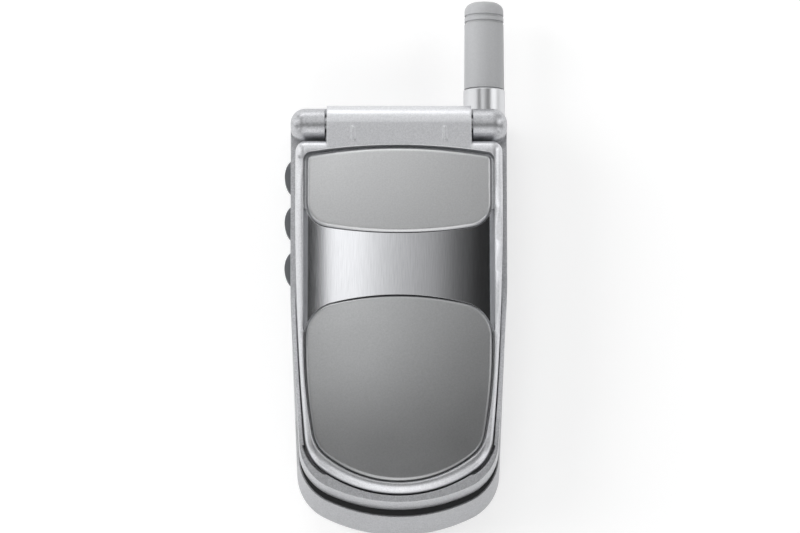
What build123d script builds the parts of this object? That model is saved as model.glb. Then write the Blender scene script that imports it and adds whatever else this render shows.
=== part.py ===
from build123d import *
import os
from math import sqrt

# A small clamshell mobile phone, closed and lying on its back.
# X runs across the phone, Y along it towards the hinge and the antenna, and Z up
# out of the lid.  The origin is on the flat back, at mid-length of the body.
# All sizes are in millimetres.

os.makedirs("parts", exist_ok=True)

# ---------------------------------------------------------------- driving dimensions

# Body, in plan
head_y = 42.9  # head end, above which only the antenna stands
foot_y = -43.0  # foot end, at the widest section
half_head = 22.2  # half width from the head down to the taper
foot_taper = 1.75  # how far the sides close in from there to the foot corners
half_foot = half_head - foot_taper
taper_y = 5.0  # the sides close in from here to the foot
taper_blend = 120.0
foot_radius = 34.0
foot_corner = 10.0
head_corner = 3.0

# Body, from the side
wide_z = 4.5  # the widest section lies at this height
back_edge = 3.2  # rounding of the back's rim
seal_z = 16.0  # top of the back housing
seal_height = 1.0
seal_inset = 0.25
seal_width = 1.3
front_z = 17.8  # plane that the lid closes on
head_lean = 0.2  # how far the head's sides lean in from the widest section to the front
side_lean = 0.6  # the same at the foot corners
foot_lean = 3.0  # the same at the foot end
wall = 1.4
floor = 1.6  # wall of the back
plate = 1.4  # wall of the front housing

# Chin, the raised rim of the front housing around the lid's foot
chin_z = 22.6
chin_foot_y = -39.0
chin_side = 0.6  # how far the chin's sides stand in from the body's
chin_half = half_foot - chin_side
chin_lean = 1.1
chin_side_lean = 0.25
chin_gap = 0.3
chin_arm_y = 6.0  # where the chin's arms run out on the front
chin_full_y = -25.5  # where they reach their full height
nail_gap = 0.65  # width of the slits beside the lid's corners, for a fingernail
nail_head_y = -26.4
nail_foot_y = -32.4
nail_depth = 4.4

# Hinge
hinge_radius = 3.9
knuckle_radius = 3.3
knuckle_length = 7.2  # from the body's side to the barrel's gap
knuckle_gap = 0.35
barrel_half = half_head - knuckle_length - knuckle_gap
knuckle_round = 3.0
pin_radius = 1.5
pin_edge = 0.2
pin_depth = 4.6  # depth of the hinge pin in each of the two pieces it joins
run_fit = 0.04  # radial clearance of what turns or slides
seat_fit = 0.03  # clearance of what is pressed or glued in place

# Lid
lid_thickness = 7.2
lid_gap = 0.3
lid_wall = 1.2
lid_edge = 1.9
lid_side = 1.3  # how far the lid's sides stand in from the body's at the head
lid_waist = 0.4  # how far they have closed in by the middle
lid_foot_side = 1.85  # how far the lid stands in from the body at the foot corners
lid_half_head = half_head - lid_side
lid_half_middle = lid_half_head - lid_waist
lid_half_foot = half_foot - lid_foot_side
lid_middle_y = 0.0
lid_foot_y = -36.3
lid_foot_radius = 26.5
lid_corner = 8.5
lid_shoulder = 2.2
lid_fall = 1.0  # how much lower the front lies at the foot
lid_fall_y = -10.0  # where that fall starts
lid_floor = 0.8  # web between the front inserts and the hollow behind them
insert_depth = 2.6  # depth of the front recess
inner_cover_thickness = 0.9

# Front inserts of the lid
panel_head_y = 33.7
panel_head_radius = 116.0
panel_side = 2.2  # from the lid's side to the panel's
panel_half = lid_half_head - panel_side
panel_foot_y = 16.4
panel_foot_radius = 81.0
panel_corner = 5.0
panel_crown = 0.35  # height of the panel's middle above the lid's front
panel_dome = 200.0
panel_edge = 0.8
panel_head_corner = 1.1
groove = 0.6
pad_head_y = 3.7
pad_head_radius = 59.0
pad_side = 1.75  # from the lid's side to the pad's, at the middle
pad_foot_side = 1.8  # the same at the foot
pad_half = lid_half_middle - pad_side
pad_half_foot = lid_half_foot - pad_foot_side
pad_bulge = 0.9  # how far the pad's sides bow out
pad_foot_y = -33.8
pad_foot_radius = 23.5
pad_corner = 7.0
pad_crown = 0.9
pad_dome = 130.0
pad_edge = 0.8
pad_groove = 0.3
band_crown = -0.3
band_fall = 2.0  # how much lower the band lies at its sides than in the middle
band_gap = 0.12
pip_x = 9.3
pip_y = 36.6
pip_length = 3.0
pip_width = 0.8
pip_height = 0.25

# Antenna
antenna_z = 11.0
collar_radius = 4.3
collar_side = 0.3  # from the body's side to the collar's
antenna_x = half_head - collar_side - collar_radius
collar_top_y = 48.0
collar_seat_y = 39.4
collar_edge = 0.3
shank_radius = 2.6
shank_length = 3.2
cap_length = 18.1
cap_radius_top = 4.0
cap_radius_foot = 4.12
cap_round = 1.8
grip_groove_depth = 0.25
grip_groove_width = 0.5
grip_groove_pitch = 1.3
grip_groove_first = 2.95
whip_radius = 0.85
whip_foot_y = -24.0
stopper_radius = 1.3
stopper_length = 2.0
coil_radius = 2.1
coil_wire = 0.35
coil_pitch = 1.4
coil_turns = 8
coil_rise = 2.5  # the coil starts this far above the cap's foot
clip_thickness = 0.3
clip_length = 1.6
clip_y = 33.4

# Battery, its bay and its cover
bay_side = 6.15  # from the body's side at the foot to the bay's
bay_half = half_foot - bay_side
bay_foot_y = -33.0
bay_head_y = 12.6
bay_wall = 1.2
bay_ceiling = 7.4
partition = 1.0
battery_gap = 0.2
battery_height = 5.6
cover_thickness = 1.4
cover_lap = 0.5  # how far the cover reaches past the bay on each side
cover_half = bay_half + cover_lap
cover_head_y = 13.8
cover_gap = 0.12
tongue_width = 0.8
tongue_height = 0.6
tongue_z = 0.5
grip_y = 7.0  # middle of the battery cover's thumb grip
grip_pitch = 1.6
grip_count = 5
grip_slot_width = 0.8
grip_depth = 0.3
battery_corner = 1.0
battery_edge = 0.4

# Battery latch
latch_half = 4.0
latch_length = 5.6
latch_height = 2.0
latch_travel = 1.2
latch_gap = 0.12
latch_nose = 0.8
latch_nose_half = 2.5
latch_spring_length = 3.4
latch_spring_radius = 0.7
latch_spring_wire = 0.2
latch_spring_turns = 5
latch_rib_pitch = 1.2
latch_rib_width = 0.5
latch_rib_count = 4
latch_rib_depth = 0.3
latch_housing_wall = 1.0

# Main board and what it carries
board_z = 12.6
board_thickness = 0.8
board_side = 3.15  # from the body's side at the foot to the board's
board_half = half_foot - board_side
board_foot_y = -32.9
board_head_y = 35.8
post_width = 1.2
post_length = 3.0
post_inset = 2.2  # from the board's side to the middle of its posts
post_x = board_half - post_inset
post_foot_y = -31.2
post_head_y = 11.2
board_corner = 0.6
radio_can = (-14.5, 12.0, 14.0, 31.0)  # left, right, foot and head edges of the can
logic_can = (-13.0, 13.0, -27.4, -10.6)
can_height = 2.6
can_wall = 0.25
sim_width = 25.0
sim_length = 15.0
sim_thickness = 0.76
sim_gap = 0.12
sim_head_y = 6.0
sim_z = 9.1
sim_rail = 1.2
sim_floor = 0.3
sim_clip = 3.0  # the card's clipped corner
contact_half = 6.0
contact_length = 3.4
contact_y = 10.0
contact_blade = 1.0
contact_count = 4
motor_radius = 2.0
motor_length = 11.0
motor_x = -8.5
motor_y = -30.9
motor_shaft_radius = 0.5
motor_edge = 0.3
weight_radius = 1.8
weight_length = 3.6
weight_gap = 0.4
mic_radius = 2.0
mic_height = 2.6
mic_y = -35.2
port_half = 4.6
port_height = 2.6
port_y = -25.0
port_inner_x = -13.6
port_recess = 0.5  # the port's pins start this far inside its mouth
port_pin_width = 0.4
port_pin_pitch = 0.9
port_pin_count = 8

# Display
lens_width = 27.0
lens_length = 21.0
lens_y = 14.6
lens_thickness = 0.9
lens_sink = 0.2  # how far the lens lies below the front
lens_gap = 0.1
lens_ledge = 1.2
lens_corner = 2.5
display_height = 2.7
display_margin = 1.6

# Keys
key_width = 7.6
key_length = 4.6
key_round = 2.2
key_edge = 0.5
key_pitch_x = 9.6
key_pitch_y = 6.2
key_first_y = -10.6
key_sink = 0.3  # key tops lie this far below the front
key_gap = 0.15
key_flange = 0.35  # margin of the key's flange
flange_height = 0.6
flange_gap = 0.1
stem_radius = 1.0
stem_height = 0.65
function_width = 7.0
function_length = 4.2
function_round = 1.4
function_edge = 0.3
function_y = -3.4
mat_margin = 1.2
mat_thickness = 0.9
dome_sheet_thickness = 0.2
dome_radius = 1.9
dome_height = 0.3

# Side buttons
button_first_y = 29.6
button_pitch = 9.45
button_length = 6.7
button_width = 3.8
button_height = 1.2  # how far a button stands out of the side
button_z = 11.0
button_gap = 0.15
button_flange = 0.8
button_flange_thickness = 0.7
button_travel = 0.45
plunger_length = 0.6
switch_thickness = 0.6
strip_thickness = 0.5

# Screws
screw_radius = 0.8
screw_head_radius = 1.5
screw_head_height = 1.2
screw_head_z = 6.0
screw_length = 8.6
boss_radius = 2.1
boss_joint_z = 12.1
head_screw = (9.0, 38.2)
foot_screw = (10.6, -35.2)

# Earpiece and small pieces in the lid
earpiece_radius = 6.5
earpiece_height = 2.2
earpiece_y = -21.0
slot_length = 8.0
slot_width = 1.1
slot_pitch = 2.2
slot_count = 3
gasket_height = 0.3
gasket_width = 1.0
magnet_length = 5.0
magnet_width = 2.5
magnet_side = 5.9  # from the lid's side at the foot to the magnet's middle
magnet_x = magnet_side - lid_half_foot
magnet_y = -10.0
bumper_radius = 1.6
bumper_depth = 0.4
bumper_x = 11.2
bumper_y = -28.8
flex_width = 6.0
flex_thickness = 0.15
flex_roll_radius = 2.2
flex_roll_half = 4.0
flex_gap = 0.1

# Hinge module in the right half of the barrel
module_radius = 2.7
module_wall = 0.5
module_length = 11.0
cam_radius = 2.05
cam_length = 2.0
spring_wire = 0.5
spring_turns = 4

# ---------------------------------------------------------------- derived places

seal_top = seal_z + seal_height
plate_under = front_z - plate
hinge_y = head_y - hinge_radius
lid_back_z = front_z + lid_gap
lid_front_z = front_z + lid_thickness
hinge_z = lid_front_z - hinge_radius
shoulder_y = hinge_y - knuckle_radius - knuckle_gap
knuckle_inner = barrel_half + knuckle_gap
insert_z = lid_front_z - insert_depth
lid_hollow_z = insert_z - lid_floor
lid_cover_top = lid_back_z + inner_cover_thickness
recess_half = panel_half + groove
band_half = recess_half - seat_fit
band_radius = (band_half**2 + band_fall**2) / (2 * band_fall)
bay_top = bay_ceiling + partition
board_top = board_z + board_thickness
cover_opening_z = tongue_z + tongue_height + cover_gap
band_head_y = panel_foot_y + panel_corner + band_gap
band_foot_y = pad_head_y - pad_corner - band_gap
band_middle_y = (band_head_y + band_foot_y) / 2
band_length = band_head_y - band_foot_y
roll_middle_x = -barrel_half + pin_depth + flex_roll_half + 1.0
mirror_sides = (-1, 1)


# ---------------------------------------------------------------- outlines

def body_outline(z, inset=0.0):
    """Plan of the body at height z, between its widest section and its front."""
    rise = (z - wide_z) / (front_z - wide_z)
    x_head = half_head - rise * head_lean - inset
    x_foot = half_foot - rise * side_lean - inset
    return rounded_plan(x_head, x_foot, foot_y + rise * foot_lean + inset, inset)


def chin_outline(lean, inset=0.0):
    """Plan of the front housing, which leans in by a share of the chin's lean."""
    x_head = half_head - head_lean - inset
    x_foot = chin_half - lean * chin_side_lean - inset
    return rounded_plan(x_head, x_foot, chin_foot_y + lean * chin_lean + inset, inset)


def rounded_plan(x_head, x_foot, foot, inset):
    """Straight head, tapered sides and a foot that is one arc between two corners."""
    head = head_y - inset
    arc = foot_radius - inset
    y_side = foot + arc - sqrt(arc**2 - x_foot**2)
    with BuildSketch() as outline:
        with BuildLine():
            Polyline((-x_foot, y_side), (-x_head, taper_y), (-x_head, head), (x_head, head),
                     (x_head, taper_y), (x_foot, y_side))
            ThreePointArc((x_foot, y_side), (0, foot), (-x_foot, y_side))
        make_face()
        fillet(outline.vertices().sort_by(Axis.Y)[-2:], head_corner - inset / 2)
        fillet(outline.vertices().sort_by(Axis.Y)[:2], foot_corner - inset)
        tapers = outline.vertices().filter_by_position(Axis.Y, taper_y - 0.1, taper_y + 0.1)
        fillet(tapers, taper_blend)
    return outline.sketch


def lid_outline(growth=0.0):
    """Plan of the lid: bowed sides, a foot arc between two corners, and two shoulders."""
    x_foot = lid_half_foot + growth
    x_middle = lid_half_middle + growth
    x_head = lid_half_head + growth
    foot = lid_foot_y - growth
    head = shoulder_y + growth
    arc = lid_foot_radius + growth
    y_side = foot + arc - sqrt(arc**2 - x_foot**2)
    with BuildSketch() as outline:
        with BuildLine():
            ThreePointArc((-x_foot, y_side), (-x_middle, lid_middle_y), (-x_head, head))
            Line((-x_head, head), (x_head, head))
            ThreePointArc((x_head, head), (x_middle, lid_middle_y), (x_foot, y_side))
            ThreePointArc((x_foot, y_side), (0, foot), (-x_foot, y_side))
        make_face()
        fillet(outline.vertices().sort_by(Axis.Y)[-2:], lid_shoulder + growth)
        fillet(outline.vertices().sort_by(Axis.Y)[:2], lid_corner + growth)
    return outline.sketch


def panel_outline(growth=0.0):
    """Plan of the upper panel, between two arcs that both bow with the hinge's groove."""
    side = panel_half + growth
    head = panel_head_y + growth
    foot = panel_foot_y - growth
    head_side = head - panel_head_radius + sqrt(panel_head_radius**2 - side**2)
    foot_side = foot + panel_foot_radius - sqrt(panel_foot_radius**2 - side**2)
    with BuildSketch() as outline:
        with BuildLine():
            ThreePointArc((-side, head_side), (0, head), (side, head_side))
            Line((side, head_side), (side, foot_side))
            ThreePointArc((side, foot_side), (0, foot), (-side, foot_side))
            Line((-side, foot_side), (-side, head_side))
        make_face()
        fillet(outline.vertices().sort_by(Axis.Y)[:2], panel_corner + growth)
        fillet(outline.vertices().sort_by(Axis.Y)[-2:], panel_head_corner + growth)
    return outline.sketch


def pad_outline(growth=0.0):
    """Plan of the lower pad: an arched head, bowed sides and a round foot."""
    side = pad_half + growth
    side_foot = pad_half_foot + growth
    head = pad_head_y + growth
    foot = pad_foot_y - growth
    head_arc = pad_head_radius + growth
    foot_arc = pad_foot_radius + growth
    head_side = head - head_arc + sqrt(head_arc**2 - side**2)
    foot_side = foot + foot_arc - sqrt(foot_arc**2 - side_foot**2)
    bow_x = (side + side_foot) / 2 + pad_bulge
    bow_y = (head_side + foot_side) / 2
    with BuildSketch() as outline:
        with BuildLine():
            ThreePointArc((-side, head_side), (0, head), (side, head_side))
            ThreePointArc((side, head_side), (bow_x, bow_y), (side_foot, foot_side))
            ThreePointArc((side_foot, foot_side), (0, foot), (-side_foot, foot_side))
            ThreePointArc((-side_foot, foot_side), (-bow_x, bow_y), (-side, head_side))
        make_face()
        fillet(outline.vertices(), pad_corner + growth)
    return outline.sketch


# ---------------------------------------------------------------- body housings

with BuildPart() as body_form:
    with BuildSketch():
        add(body_outline(wide_z))
    extrude(amount=wide_z)
    fillet(body_form.faces().sort_by(Axis.Z)[0].edges(), back_edge)
    with BuildSketch(Plane.XY.offset(wide_z)):
        add(body_outline(wide_z))
    with BuildSketch(Plane.XY.offset(front_z)):
        add(body_outline(front_z))
    loft(ruled=True)

with BuildPart() as hollow_form:
    with BuildSketch(Plane.XY.offset(floor)):
        add(body_outline(wide_z, wall))
    extrude(amount=wide_z - floor)
    with BuildSketch(Plane.XY.offset(wide_z)):
        add(body_outline(wide_z, wall))
    with BuildSketch(Plane.XY.offset(front_z)):
        add(body_outline(front_z, wall))
    loft(ruled=True)

bay_middle_y = (bay_head_y + bay_foot_y) / 2
bay_length = bay_head_y - bay_foot_y
latch_foot_y = cover_head_y + latch_gap
latch_head_y = latch_foot_y + latch_length
latch_recess_head_y = latch_head_y + latch_travel + latch_gap
latch_spring_z = latch_height / 2 + latch_spring_wire
screw_places = [(side * x, y) for side in mirror_sides for x, y in (head_screw, foot_screw)]
side_z_lean = (button_z - wide_z) / (front_z - wide_z) * head_lean
side_outer_x = half_head - side_z_lean
side_inner_x = side_outer_x - wall

with BuildPart() as back_housing:
    add(body_form.part)
    split(bisect_by=Plane.XY.offset(seal_z), keep=Keep.BOTTOM)
    add(hollow_form.part, mode=Mode.SUBTRACT)
    # walls and ceiling of the battery bay
    with BuildSketch():
        with Locations((0, bay_middle_y)):
            Rectangle(2 * (bay_half + bay_wall), bay_length + 2 * bay_wall)
    extrude(amount=bay_top)
    # housing of the battery latch
    with BuildSketch():
        with Locations((0, (bay_head_y + latch_head_y + latch_spring_length + latch_housing_wall) / 2)):
            Rectangle(2 * (latch_half + tongue_width + latch_housing_wall),
                      latch_head_y + latch_spring_length + latch_housing_wall - bay_head_y)
    extrude(amount=latch_height + latch_gap + latch_housing_wall)
    # screw bosses
    with BuildSketch():
        with Locations(*screw_places):
            Circle(boss_radius)
    extrude(amount=boss_joint_z)
    # inner boss around the antenna collar's shank
    with BuildSketch(Plane.XZ.offset(-(head_y - wall))):
        with Locations((antenna_x, antenna_z)):
            Circle(shank_radius + wall)
    extrude(amount=head_y - wall - collar_seat_y + shank_length)
    add(body_form.part, mode=Mode.INTERSECT)
    split(bisect_by=Plane.XY.offset(seal_z), keep=Keep.BOTTOM)
    # posts that carry the main board
    with BuildSketch(Plane.XY.offset(bay_top)):
        with Locations(*[(side * post_x, y) for side in mirror_sides for y in (post_foot_y, post_head_y)]):
            Rectangle(post_width, post_length)
    extrude(amount=board_z - bay_top)
    # battery bay, open at the back
    with BuildSketch(Plane.XY.offset(cover_opening_z)):
        with Locations((0, bay_middle_y)):
            Rectangle(2 * bay_half, bay_length)
    extrude(amount=bay_ceiling - cover_opening_z, mode=Mode.SUBTRACT)
    # slot that the battery cover slides out of, with a groove for its tongues
    slot_length_y = cover_head_y + cover_gap - 2 * foot_y
    with BuildSketch():
        with Locations((0, cover_head_y + cover_gap - slot_length_y / 2)):
            Rectangle(2 * (cover_half + cover_gap), slot_length_y)
    extrude(amount=cover_thickness + cover_gap, mode=Mode.SUBTRACT)
    with BuildSketch(Plane.XY.offset(tongue_z - cover_gap)):
        with Locations((0, cover_head_y + cover_gap - slot_length_y / 2)):
            Rectangle(2 * (cover_half + tongue_width + cover_gap), slot_length_y)
    extrude(amount=tongue_height + 2 * cover_gap, mode=Mode.SUBTRACT)
    # recess of the battery latch, with a groove for its tongues
    with BuildSketch():
        with Locations((0, (cover_head_y + latch_recess_head_y) / 2)):
            Rectangle(2 * (latch_half + latch_gap), latch_recess_head_y - cover_head_y)
    extrude(amount=latch_height + latch_gap, mode=Mode.SUBTRACT)
    with BuildSketch(Plane.XY.offset(tongue_z - latch_gap)):
        with Locations((0, (cover_head_y + latch_recess_head_y) / 2)):
            Rectangle(2 * (latch_half + tongue_width + latch_gap), latch_recess_head_y - cover_head_y)
    extrude(amount=tongue_height + 2 * latch_gap, mode=Mode.SUBTRACT)
    with BuildSketch(Plane.XZ.offset(-latch_recess_head_y)):
        with Locations((0, latch_spring_z)):
            Circle(latch_spring_radius + latch_spring_wire)
    extrude(amount=latch_travel + latch_gap - latch_spring_length, mode=Mode.SUBTRACT)
    # windows in the bay's ceiling for the battery contacts and the SIM card
    with BuildSketch(Plane.XY.offset(bay_ceiling)):
        with Locations((0, contact_y)):
            Rectangle(2 * (contact_half + battery_gap), contact_length + 2 * battery_gap)
        with Locations((0, sim_head_y - sim_length)):
            Rectangle(sim_width - 2 * sim_rail, 2 * sim_length)
    extrude(amount=partition, mode=Mode.SUBTRACT)
    # screw holes with seats for the heads
    with Locations(*[(x, y, 0) for x, y in screw_places]):
        Cylinder(screw_head_radius + run_fit, screw_head_z + screw_head_height,
                 align=(Align.CENTER, Align.CENTER, Align.MIN), mode=Mode.SUBTRACT)
        Cylinder(screw_radius + run_fit, boss_joint_z,
                 align=(Align.CENTER, Align.CENTER, Align.MIN), mode=Mode.SUBTRACT)
    # seat and bore of the antenna collar
    with BuildSketch(Plane.XZ.offset(-collar_seat_y)):
        with Locations((antenna_x, antenna_z)):
            Circle(collar_radius + seat_fit)
    extrude(amount=-(collar_top_y - collar_seat_y), mode=Mode.SUBTRACT)
    with BuildSketch(Plane.XZ.offset(-collar_seat_y)):
        with Locations((antenna_x, antenna_z)):
            Circle(shank_radius + seat_fit)
    extrude(amount=shank_length + wall, mode=Mode.SUBTRACT)
    # holes of the side buttons
    with BuildSketch(Plane.YZ.offset(-half_head - button_height)):
        with Locations(*[(button_first_y - n * button_pitch, button_z) for n in range(3)]):
            RectangleRounded(button_length + 2 * button_gap, button_width + 2 * button_gap, button_width / 2)
    extrude(amount=button_height + 2 * wall, mode=Mode.SUBTRACT)
    # opening of the accessory port
    with BuildSketch(Plane.YZ.offset(-half_head)):
        with Locations((port_y, board_z - port_height / 2)):
            Rectangle(2 * port_half, port_height)
    extrude(amount=half_head - board_half, mode=Mode.SUBTRACT)
back_housing.part.label = "back_housing"
export_step(back_housing.part, "parts/back_housing.step")

with BuildPart() as parting_seal:
    with BuildSketch(Plane.XY.offset(seal_z)):
        add(body_outline(seal_z, seal_inset))
        add(body_outline(seal_z, seal_width + seal_inset), mode=Mode.SUBTRACT)
    extrude(amount=seal_height)
parting_seal.part.label = "parting_seal"
export_step(parting_seal.part, "parts/parting_seal.step")

# ---------------------------------------------------------------- front housing

chin_height = chin_z - front_z
pocket_head_y = 2 * head_y

with BuildPart() as chin:
    with BuildSketch(Plane.XY.offset(front_z)):
        add(chin_outline(0))
    with BuildSketch(Plane.XY.offset(chin_z)):
        add(chin_outline(1))
    loft(ruled=True)
    # pocket that the lid's foot closes into
    with BuildSketch(Plane.XY.offset(front_z)):
        add(lid_outline(chin_gap))
    extrude(amount=chin_height, mode=Mode.SUBTRACT)
    # slits for a fingernail beside the lid's two corners
    with BuildSketch(Plane.XY.offset(chin_z - nail_depth)):
        with Locations((0, (nail_head_y + nail_foot_y) / 2)):
            Rectangle(4 * chin_half, nail_head_y - nail_foot_y)
        add(lid_outline(nail_gap), mode=Mode.INTERSECT)
    extrude(amount=nail_depth, mode=Mode.SUBTRACT)
    # the arms fall in a long double curve from the chin to the front
    with BuildSketch(Plane.YZ.offset(-half_head)):
        with BuildLine():
            Spline((chin_full_y, chin_z), (chin_arm_y, front_z), tangents=[(1, 0), (1, 0)])
            Polyline((chin_arm_y, front_z), (pocket_head_y, front_z), (pocket_head_y, chin_z + 1),
                     (chin_full_y, chin_z + 1), (chin_full_y, chin_z))
        make_face()
    extrude(amount=2 * half_head, mode=Mode.SUBTRACT)

with BuildPart() as knuckles:
    for side in mirror_sides:
        with BuildSketch(Plane.YZ.offset(side * knuckle_inner)):
            with Locations((hinge_y, hinge_z)):
                Circle(knuckle_radius)
            with Locations((hinge_y, (hinge_z + seal_top) / 2)):
                Rectangle(2 * knuckle_radius, hinge_z - seal_top)
        extrude(amount=side * (half_head - head_lean - knuckle_inner))
    outer_faces = knuckles.faces().filter_by(Axis.X).group_by(lambda face: abs(face.center().X))[-1]
    outer_edges = outer_faces.edges().filter_by(lambda edge: edge.center().Z > seal_top + knuckle_gap)
    fillet(outer_edges, knuckle_round)

key_columns = (-1, 0, 1)
key_rows = range(4)
key_places = [(column * key_pitch_x, key_first_y - row * key_pitch_y) for row in key_rows for column in key_columns]
function_places = [(column * key_pitch_x, function_y) for column in key_columns]

with BuildPart() as front_housing:
    with BuildSketch(Plane.XY.offset(seal_top)):
        add(chin_outline(0))
    extrude(amount=front_z - seal_top)
    # step that reaches down inside the seal
    with BuildSketch(Plane.XY.offset(plate_under)):
        add(body_outline(seal_z, seal_inset + seal_width + seat_fit))
    extrude(amount=front_z - plate_under)
    add(chin.part)
    add(knuckles.part)
    # screw bosses under the plate
    with BuildSketch(Plane.XY.offset(boss_joint_z)):
        with Locations(*screw_places):
            Circle(boss_radius)
        add(body_outline(seal_z, seal_inset + seal_width + seat_fit), mode=Mode.INTERSECT)
    extrude(amount=plate_under - boss_joint_z)
    with Locations(*[(x, y, boss_joint_z) for x, y in screw_places]):
        Cylinder(screw_radius + run_fit, screw_head_z + screw_length - boss_joint_z + 2 * seat_fit,
                 align=(Align.CENTER, Align.CENTER, Align.MIN), mode=Mode.SUBTRACT)
    # trough that the lid's barrel turns in
    with BuildSketch(Plane.YZ.offset(-knuckle_inner)):
        with Locations((hinge_y, hinge_z)):
            Circle(hinge_radius + lid_gap)
    extrude(amount=2 * knuckle_inner, mode=Mode.SUBTRACT)
    # bores for the hinge pin and the hinge module's shaft
    with BuildSketch(Plane.YZ.offset(-knuckle_inner - pin_depth)):
        with Locations((hinge_y, hinge_z)):
            Circle(pin_radius + seat_fit)
    extrude(amount=2 * (knuckle_inner + pin_depth), mode=Mode.SUBTRACT)
    # window and seat of the display lens
    with BuildSketch(Plane.XY.offset(plate_under)):
        with Locations((0, lens_y)):
            RectangleRounded(lens_width - 2 * lens_ledge, lens_length - 2 * lens_ledge, lens_corner - lens_ledge)
    extrude(amount=plate, mode=Mode.SUBTRACT)
    with BuildSketch(Plane.XY.offset(front_z - lens_sink - lens_thickness)):
        with Locations((0, lens_y)):
            RectangleRounded(lens_width + 2 * lens_gap, lens_length + 2 * lens_gap, lens_corner + lens_gap)
    extrude(amount=lens_sink + lens_thickness, mode=Mode.SUBTRACT)
    # key holes
    with BuildSketch(Plane.XY.offset(plate_under)):
        with Locations(*key_places):
            RectangleRounded(key_width + 2 * key_gap, key_length + 2 * key_gap, key_round + key_gap)
        with Locations(*function_places):
            RectangleRounded(function_width + 2 * key_gap, function_length + 2 * key_gap, function_round + key_gap)
    extrude(amount=plate, mode=Mode.SUBTRACT)
    # sound hole over the microphone
    with BuildSketch(Plane.XY.offset(plate_under)):
        with Locations((0, mic_y)):
            SlotOverall(mic_radius, mic_radius / 2)
    extrude(amount=plate, mode=Mode.SUBTRACT)
front_housing.part.label = "front_housing"
export_step(front_housing.part, "parts/front_housing.step")

# ---------------------------------------------------------------- back cover, latch and battery

with BuildPart() as battery_cover:
    with BuildSketch():
        with Locations((0, cover_head_y + foot_y)):
            Rectangle(2 * cover_half, -2 * foot_y)
    extrude(amount=cover_thickness)
    with BuildSketch(Plane.XY.offset(tongue_z)):
        with Locations((0, cover_head_y + foot_y)):
            Rectangle(2 * (cover_half + tongue_width), -2 * foot_y)
    extrude(amount=tongue_height)
    add(body_form.part, mode=Mode.INTERSECT)
    # notch that the latch's nose enters
    with BuildSketch(Plane.XY.offset(tongue_z - latch_gap)):
        with Locations((0, cover_head_y)):
            Rectangle(2 * (latch_nose_half + latch_gap), 2 * latch_nose)
    extrude(amount=tongue_height + 2 * latch_gap, mode=Mode.SUBTRACT)
    # shallow grip for the thumb
    with BuildSketch():
        with Locations((0, grip_y)):
            with GridLocations(0, grip_pitch, 1, grip_count):
                SlotOverall(cover_half, grip_slot_width)
    extrude(amount=grip_depth, mode=Mode.SUBTRACT)
battery_cover.part.label = "battery_cover"
export_step(battery_cover.part, "parts/battery_cover.step")

with BuildPart() as battery_latch:
    with BuildSketch(Plane.XY.offset(latch_gap)):
        with Locations((0, (latch_foot_y + latch_head_y) / 2)):
            Rectangle(2 * latch_half, latch_length)
    extrude(amount=latch_height - latch_gap)
    with BuildSketch(Plane.XY.offset(tongue_z)):
        with Locations((0, (latch_foot_y + latch_head_y) / 2)):
            Rectangle(2 * (latch_half + tongue_width), latch_length)
    extrude(amount=tongue_height)
    with BuildSketch(Plane.XY.offset(tongue_z)):
        with Locations((0, latch_foot_y)):
            Rectangle(2 * latch_nose_half, 2 * latch_nose)
    extrude(amount=tongue_height)
    # ribs under the fingertip
    with BuildSketch(Plane.XY.offset(latch_gap)):
        with Locations((0, (latch_foot_y + latch_head_y) / 2)):
            with GridLocations(0, latch_rib_pitch, 1, latch_rib_count):
                Rectangle(1.5 * latch_half, latch_rib_width)
    extrude(amount=latch_rib_depth, mode=Mode.SUBTRACT)
battery_latch.part.label = "battery_latch"
export_step(battery_latch.part, "parts/battery_latch.step")

with BuildPart() as latch_spring:
    with BuildLine() as spring_path:
        Helix(pitch=latch_spring_length / latch_spring_turns, height=latch_spring_length - 2 * latch_spring_wire,
              radius=latch_spring_radius, center=(0, latch_head_y + latch_spring_wire, latch_spring_z),
              direction=(0, 1, 0))
    with BuildSketch(Plane(spring_path.line @ 0, z_dir=spring_path.line % 0)):
        Circle(latch_spring_wire / 2)
    sweep(path=spring_path.line)
latch_spring.part.label = "latch_spring"
export_step(latch_spring.part, "parts/latch_spring.step")

battery_z = bay_ceiling - battery_gap - battery_height
with BuildPart() as battery_pack:
    with BuildSketch(Plane.XY.offset(battery_z)):
        with Locations((0, bay_middle_y)):
            RectangleRounded(2 * (bay_half - battery_gap), bay_length - 2 * battery_gap, battery_corner)
    extrude(amount=battery_height)
    fillet(battery_pack.edges().filter_by(Plane.XY), battery_edge)
battery_pack.part.label = "battery_pack"
export_step(battery_pack.part, "parts/battery_pack.step")

# ---------------------------------------------------------------- main board and its parts

with BuildPart() as main_board:
    with BuildSketch(Plane.XY.offset(board_z)):
        with Locations((0, (board_foot_y + board_head_y) / 2)):
            Rectangle(2 * board_half, board_head_y - board_foot_y)
        with Locations((0, (board_foot_y + mic_y) / 2)):
            Rectangle(4 * mic_radius, board_foot_y - mic_y + 2 * mic_radius)
    extrude(amount=board_thickness)
    fillet(main_board.edges().filter_by(Axis.Z), board_corner)
main_board.part.label = "main_board"
export_step(main_board.part, "parts/main_board.step")

with BuildPart() as shield_cans:
    for left, right, foot, head in (radio_can, logic_can):
        with BuildSketch(Plane.XY.offset(board_z - can_height)):
            with Locations(((left + right) / 2, (foot + head) / 2)):
                Rectangle(right - left, head - foot)
        extrude(amount=can_height)
        with BuildSketch(Plane.XY.offset(board_z - can_height + can_wall)):
            with Locations(((left + right) / 2, (foot + head) / 2)):
                Rectangle(right - left - 2 * can_wall, head - foot - 2 * can_wall)
        extrude(amount=can_height - can_wall, mode=Mode.SUBTRACT)
shield_cans.part.label = "shield_cans"
export_step(shield_cans.part, "parts/shield_cans.step")

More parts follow.
